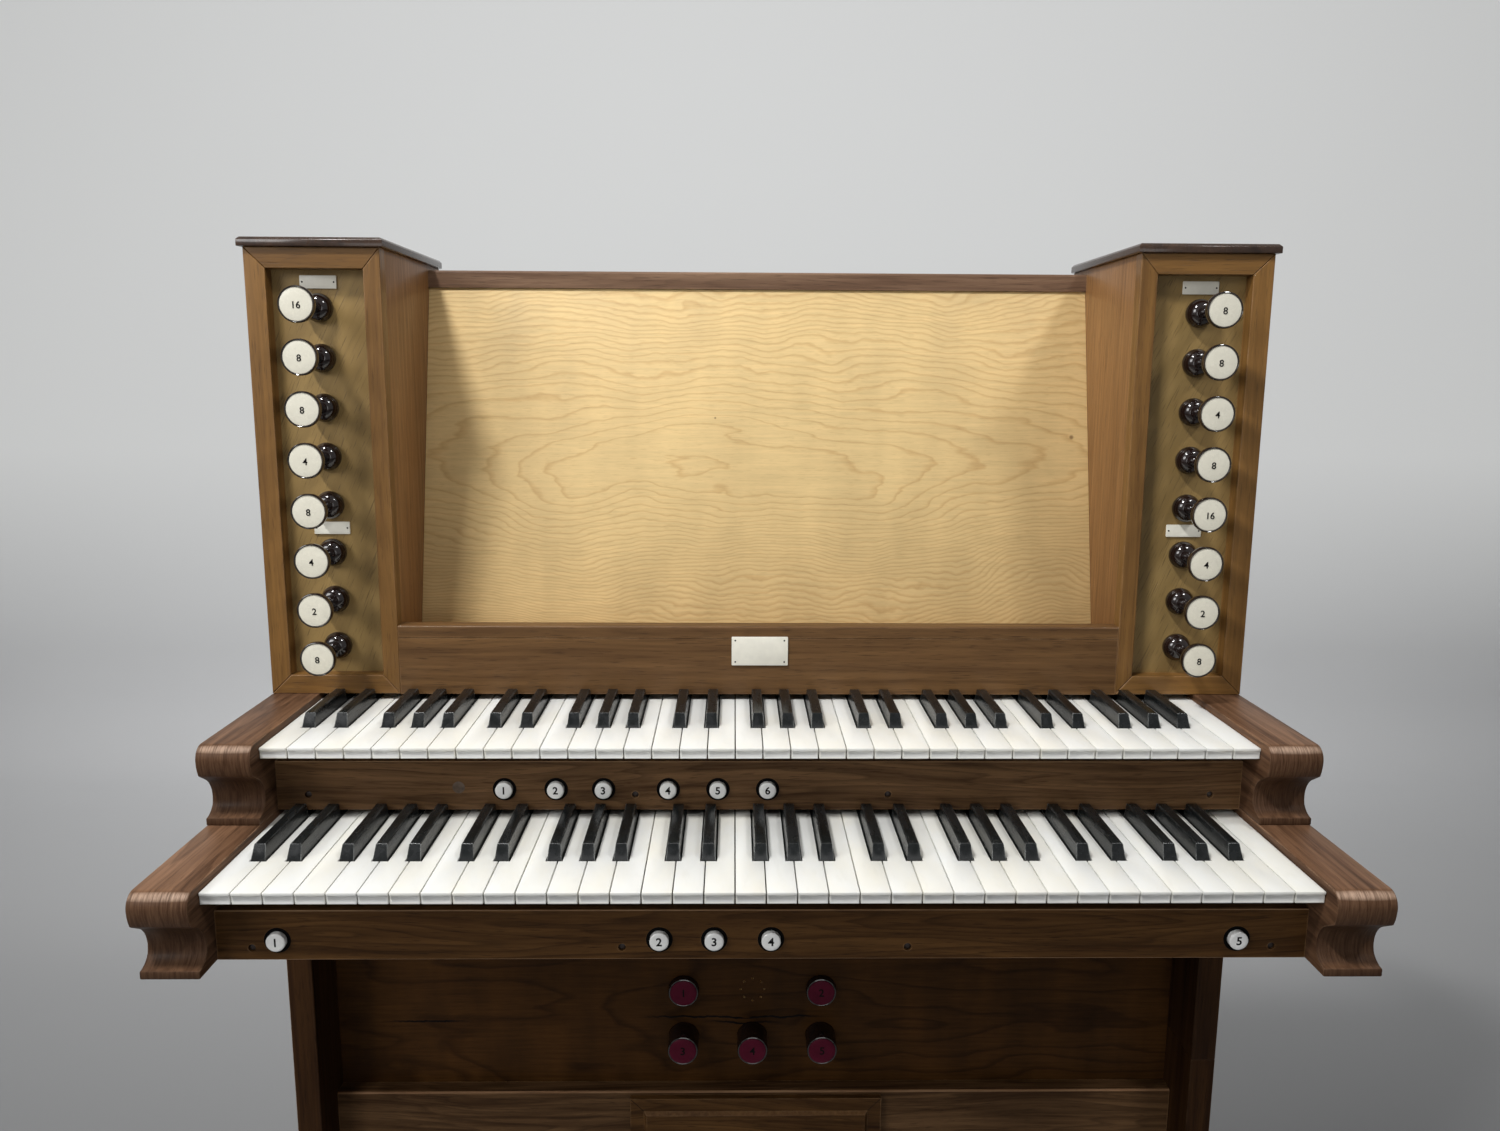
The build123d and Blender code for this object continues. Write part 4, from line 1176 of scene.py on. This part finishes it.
class CONSOLE_OT_drawstops(bpy.types.Operator):
    """Add the turned drawstops with their numbered faces, and their collars"""
    bl_idname = "console.drawstops"
    bl_label = "Drawstops"

    def execute(self, context):
        height = context.scene.console_sizes.number_height
        number_shift = Vector((0, 0.0004, -0.0010))
        start = front_of("left_drawstop_1")
        pattern = self.knob(start, round_size("left_drawstop_1")[1])
        for node, pitch in DRAWSTOPS.items():
            place = front_of(node)
            knob = copy_to(pattern, place - start)
            number = number_on(pitch, place + number_shift, height, thickness=0.00025, weight=0.00008)
            hand_in(join([knob, number], f"{node}_turned"), "knob_black", node, body=node)
        bpy.data.objects.remove(pattern)
        self.collars()
        return {"FINISHED"}

    def knob(self, place, length):
        """A head with a domed ivory face in a black rim, a waisted neck and the shank."""
        ivory_radius, ivory_depth, shank_radius = 0.0145, 0.0013, 0.0050
        face = [(0.00045, 0.0030), (0.0005, 0.0070), (0.0007, 0.0115), (0.0010, 0.0143), (0.0015, 0.0146)]
        rim = [(0.0008, 0.0148), (0.0003, 0.0150), (0.0001, 0.0153), (0.0003, 0.0157), (0.0010, 0.0160)]
        head = [(0.0022, 0.0162), (0.0052, 0.0160), (0.0068, 0.0150), (0.0078, 0.0124), (0.0083, 0.0098)]
        neck = [(0.0098, 0.0081), (0.0140, 0.0066), (0.0200, 0.0056), (0.0238, shank_radius)]

        def black(part):
            away = Vector((part.center.x - place.x, 0, part.center.z - place.z)).length
            return away >= ivory_radius or part.center.y >= place.y + ivory_depth

        knob = turned(face + rim + head + neck + [(length, shank_radius)], place)
        paint(knob, "knob_ivory")
        paint(knob, "turned_black", black)
        return knob

    def collars(self):
        """A turned dome with a bead, round each shank."""
        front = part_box("drawstop_collars")[0].y
        dome = [(0.0, 0.0053), (0.0004, 0.0070), (0.0018, 0.0094), (0.0042, 0.0114), (0.0066, 0.0124)]
        bead = [(0.0072, 0.0120), (0.0080, 0.0127), (0.0100, 0.0132), (0.0118, 0.0132)]
        foot = [(STOP_FRONT - front, 0.0126)]
        places = [Vector((middle(node).x, front, middle(node).z)) for node in DRAWSTOPS]
        pattern = turned(dome + bead + foot, places[0])
        copies = [copy_to(pattern, place - places[0]) for place in places[1:]]
        piece = join([pattern] + copies, "drawstop_collars_turned")
        paint(piece, "turned_black")
        hand_in(piece, "knob_black", "drawstop_collars")


class CONSOLE_OT_thumbs(bpy.types.Operator):
    """Add the numbered thumb pistons and the black rings round them"""
    bl_idname = "console.thumbs"
    bl_label = "Thumb pistons"

    def execute(self, context):
        height = context.scene.console_sizes.thumb_number_height
        rounded = [(0.0, 0.55), (0.0001, 0.86), (0.0004, 0.94), (0.0009, 1.0)]
        rings = []
        for row, count in (("upper", 6), ("lower", 5)):
            for n in range(1, count + 1):
                node = f"{row}_thumb_piston_{n}"
                place = front_of(node)
                face = button(node, rounded, 40)
                paint(face, "piston_cover")
                number = number_on(str(n), place + NUMBER_SINK, height, weight=0.00022)
                hand_in(join([face, number], f"{node}_face"), "piston_white", node, body=node)
                rings.append(self.ring((place.x, RAIL_FRONTS[row], place.z), round_size(node)[0]))
        piece = join(rings, "thumb_piston_rings")
        paint(piece, "ring_black")
        hand_in(piece, "knob_black")
        return {"FINISHED"}

    def ring(self, place, radius):
        """A flat black ring in the recess round a piston; it is made wide enough to take in the shade round
        the piston, so its outer part is painted shade.
        """
        outer, thickness, edge = 0.0103, 0.0005, 0.0002
        inner = radius + 0.0003
        x, y, z = place
        deselect()
        bpy.ops.mesh.primitive_circle_add(vertices=40, radius=outer, fill_type="NGON",
                                          location=(x, y - thickness, z), rotation=FACING)
        ring = bpy.context.object
        with editing():
            bpy.ops.mesh.select_all(action="SELECT")
            bpy.ops.mesh.inset(thickness=outer - inner, depth=0)
            bpy.ops.mesh.delete(type="FACE")
        bpy.ops.object.modifier_add(type="SOLIDIFY")
        wall = ring.modifiers[-1]
        wall.thickness = thickness
        wall.offset = -1.0
        bpy.ops.object.modifier_apply(modifier=wall.name)
        bevel(ring, edge)
        return settle(ring, "ring")


class CONSOLE_OT_toes(bpy.types.Operator):
    """Add the burgundy toe pistons on their black studs"""
    bl_idname = "console.toes"
    bl_label = "Toe pistons"

    def execute(self, context):
        height = context.scene.console_sizes.toe_number_height
        face = [(0.0, 0.5), (0.0001, 0.80), (0.0006, 0.86), (0.0010, 0.88)]
        rim = [(0.0008, 0.91), (0.0012, 0.965), (0.0024, 1.0)]
        cover_depth, cover_share = 0.0009, 0.875
        for n in range(1, 6):
            node = f"toe_piston_{n}"
            place = front_of(node)
            cover_radius = round_size(node)[0] * cover_share

            def black(part):
                away = (part.center - place).length
                return away >= cover_radius or part.center.y >= place.y + cover_depth

            stud = button(node, face + rim)
            paint(stud, "toe_cover")
            paint(stud, "turned_black", black)
            number = number_on(str(n), place + NUMBER_SINK, height, weight=0.0002)
            hand_in(join([stud, number], f"{node}_stud"), "toe_burgundy", node, body=node)
        return {"FINISHED"}


OPERATORS = (
    CONSOLE_OT_stage, CONSOLE_OT_case, CONSOLE_OT_beds, CONSOLE_OT_rails, CONSOLE_OT_cheeks,
    CONSOLE_OT_naturals, CONSOLE_OT_sharps, CONSOLE_OT_nameboard, CONSOLE_OT_desk, CONSOLE_OT_jambs,
    CONSOLE_OT_drawstops, CONSOLE_OT_thumbs, CONSOLE_OT_toes,
)
SETTINGS = (
    ("console_colours", ConsoleColours),
    ("console_sizes", ConsoleSizes),
    ("console_stage", ConsoleStage),
)


class CONSOLE_PT_panel(bpy.types.Panel):
    """The console's pieces, in the order in which they are made"""
    bl_label = "Organ console"
    bl_idname = "CONSOLE_PT_panel"
    bl_space_type = "VIEW_3D"
    bl_region_type = "UI"
    bl_category = "Console"

    def draw(self, context):
        for operator in OPERATORS:
            self.layout.operator(operator.bl_idname)


def register():
    for name, group in SETTINGS:
        bpy.utils.register_class(group)
        setattr(bpy.types.Scene, name, bpy.props.PointerProperty(type=group))
    for operator in OPERATORS:
        bpy.utils.register_class(operator)
    bpy.utils.register_class(CONSOLE_PT_panel)


def unregister():
    bpy.utils.unregister_class(CONSOLE_PT_panel)
    for operator in reversed(OPERATORS):
        bpy.utils.unregister_class(operator)
    for name, group in reversed(SETTINGS):
        delattr(bpy.types.Scene, name)
        bpy.utils.unregister_class(group)


def main():
    register()
    for operator in OPERATORS:
        getattr(bpy.ops.console, operator.bl_idname.split(".")[1])()


if __name__ == "__main__":
    main()
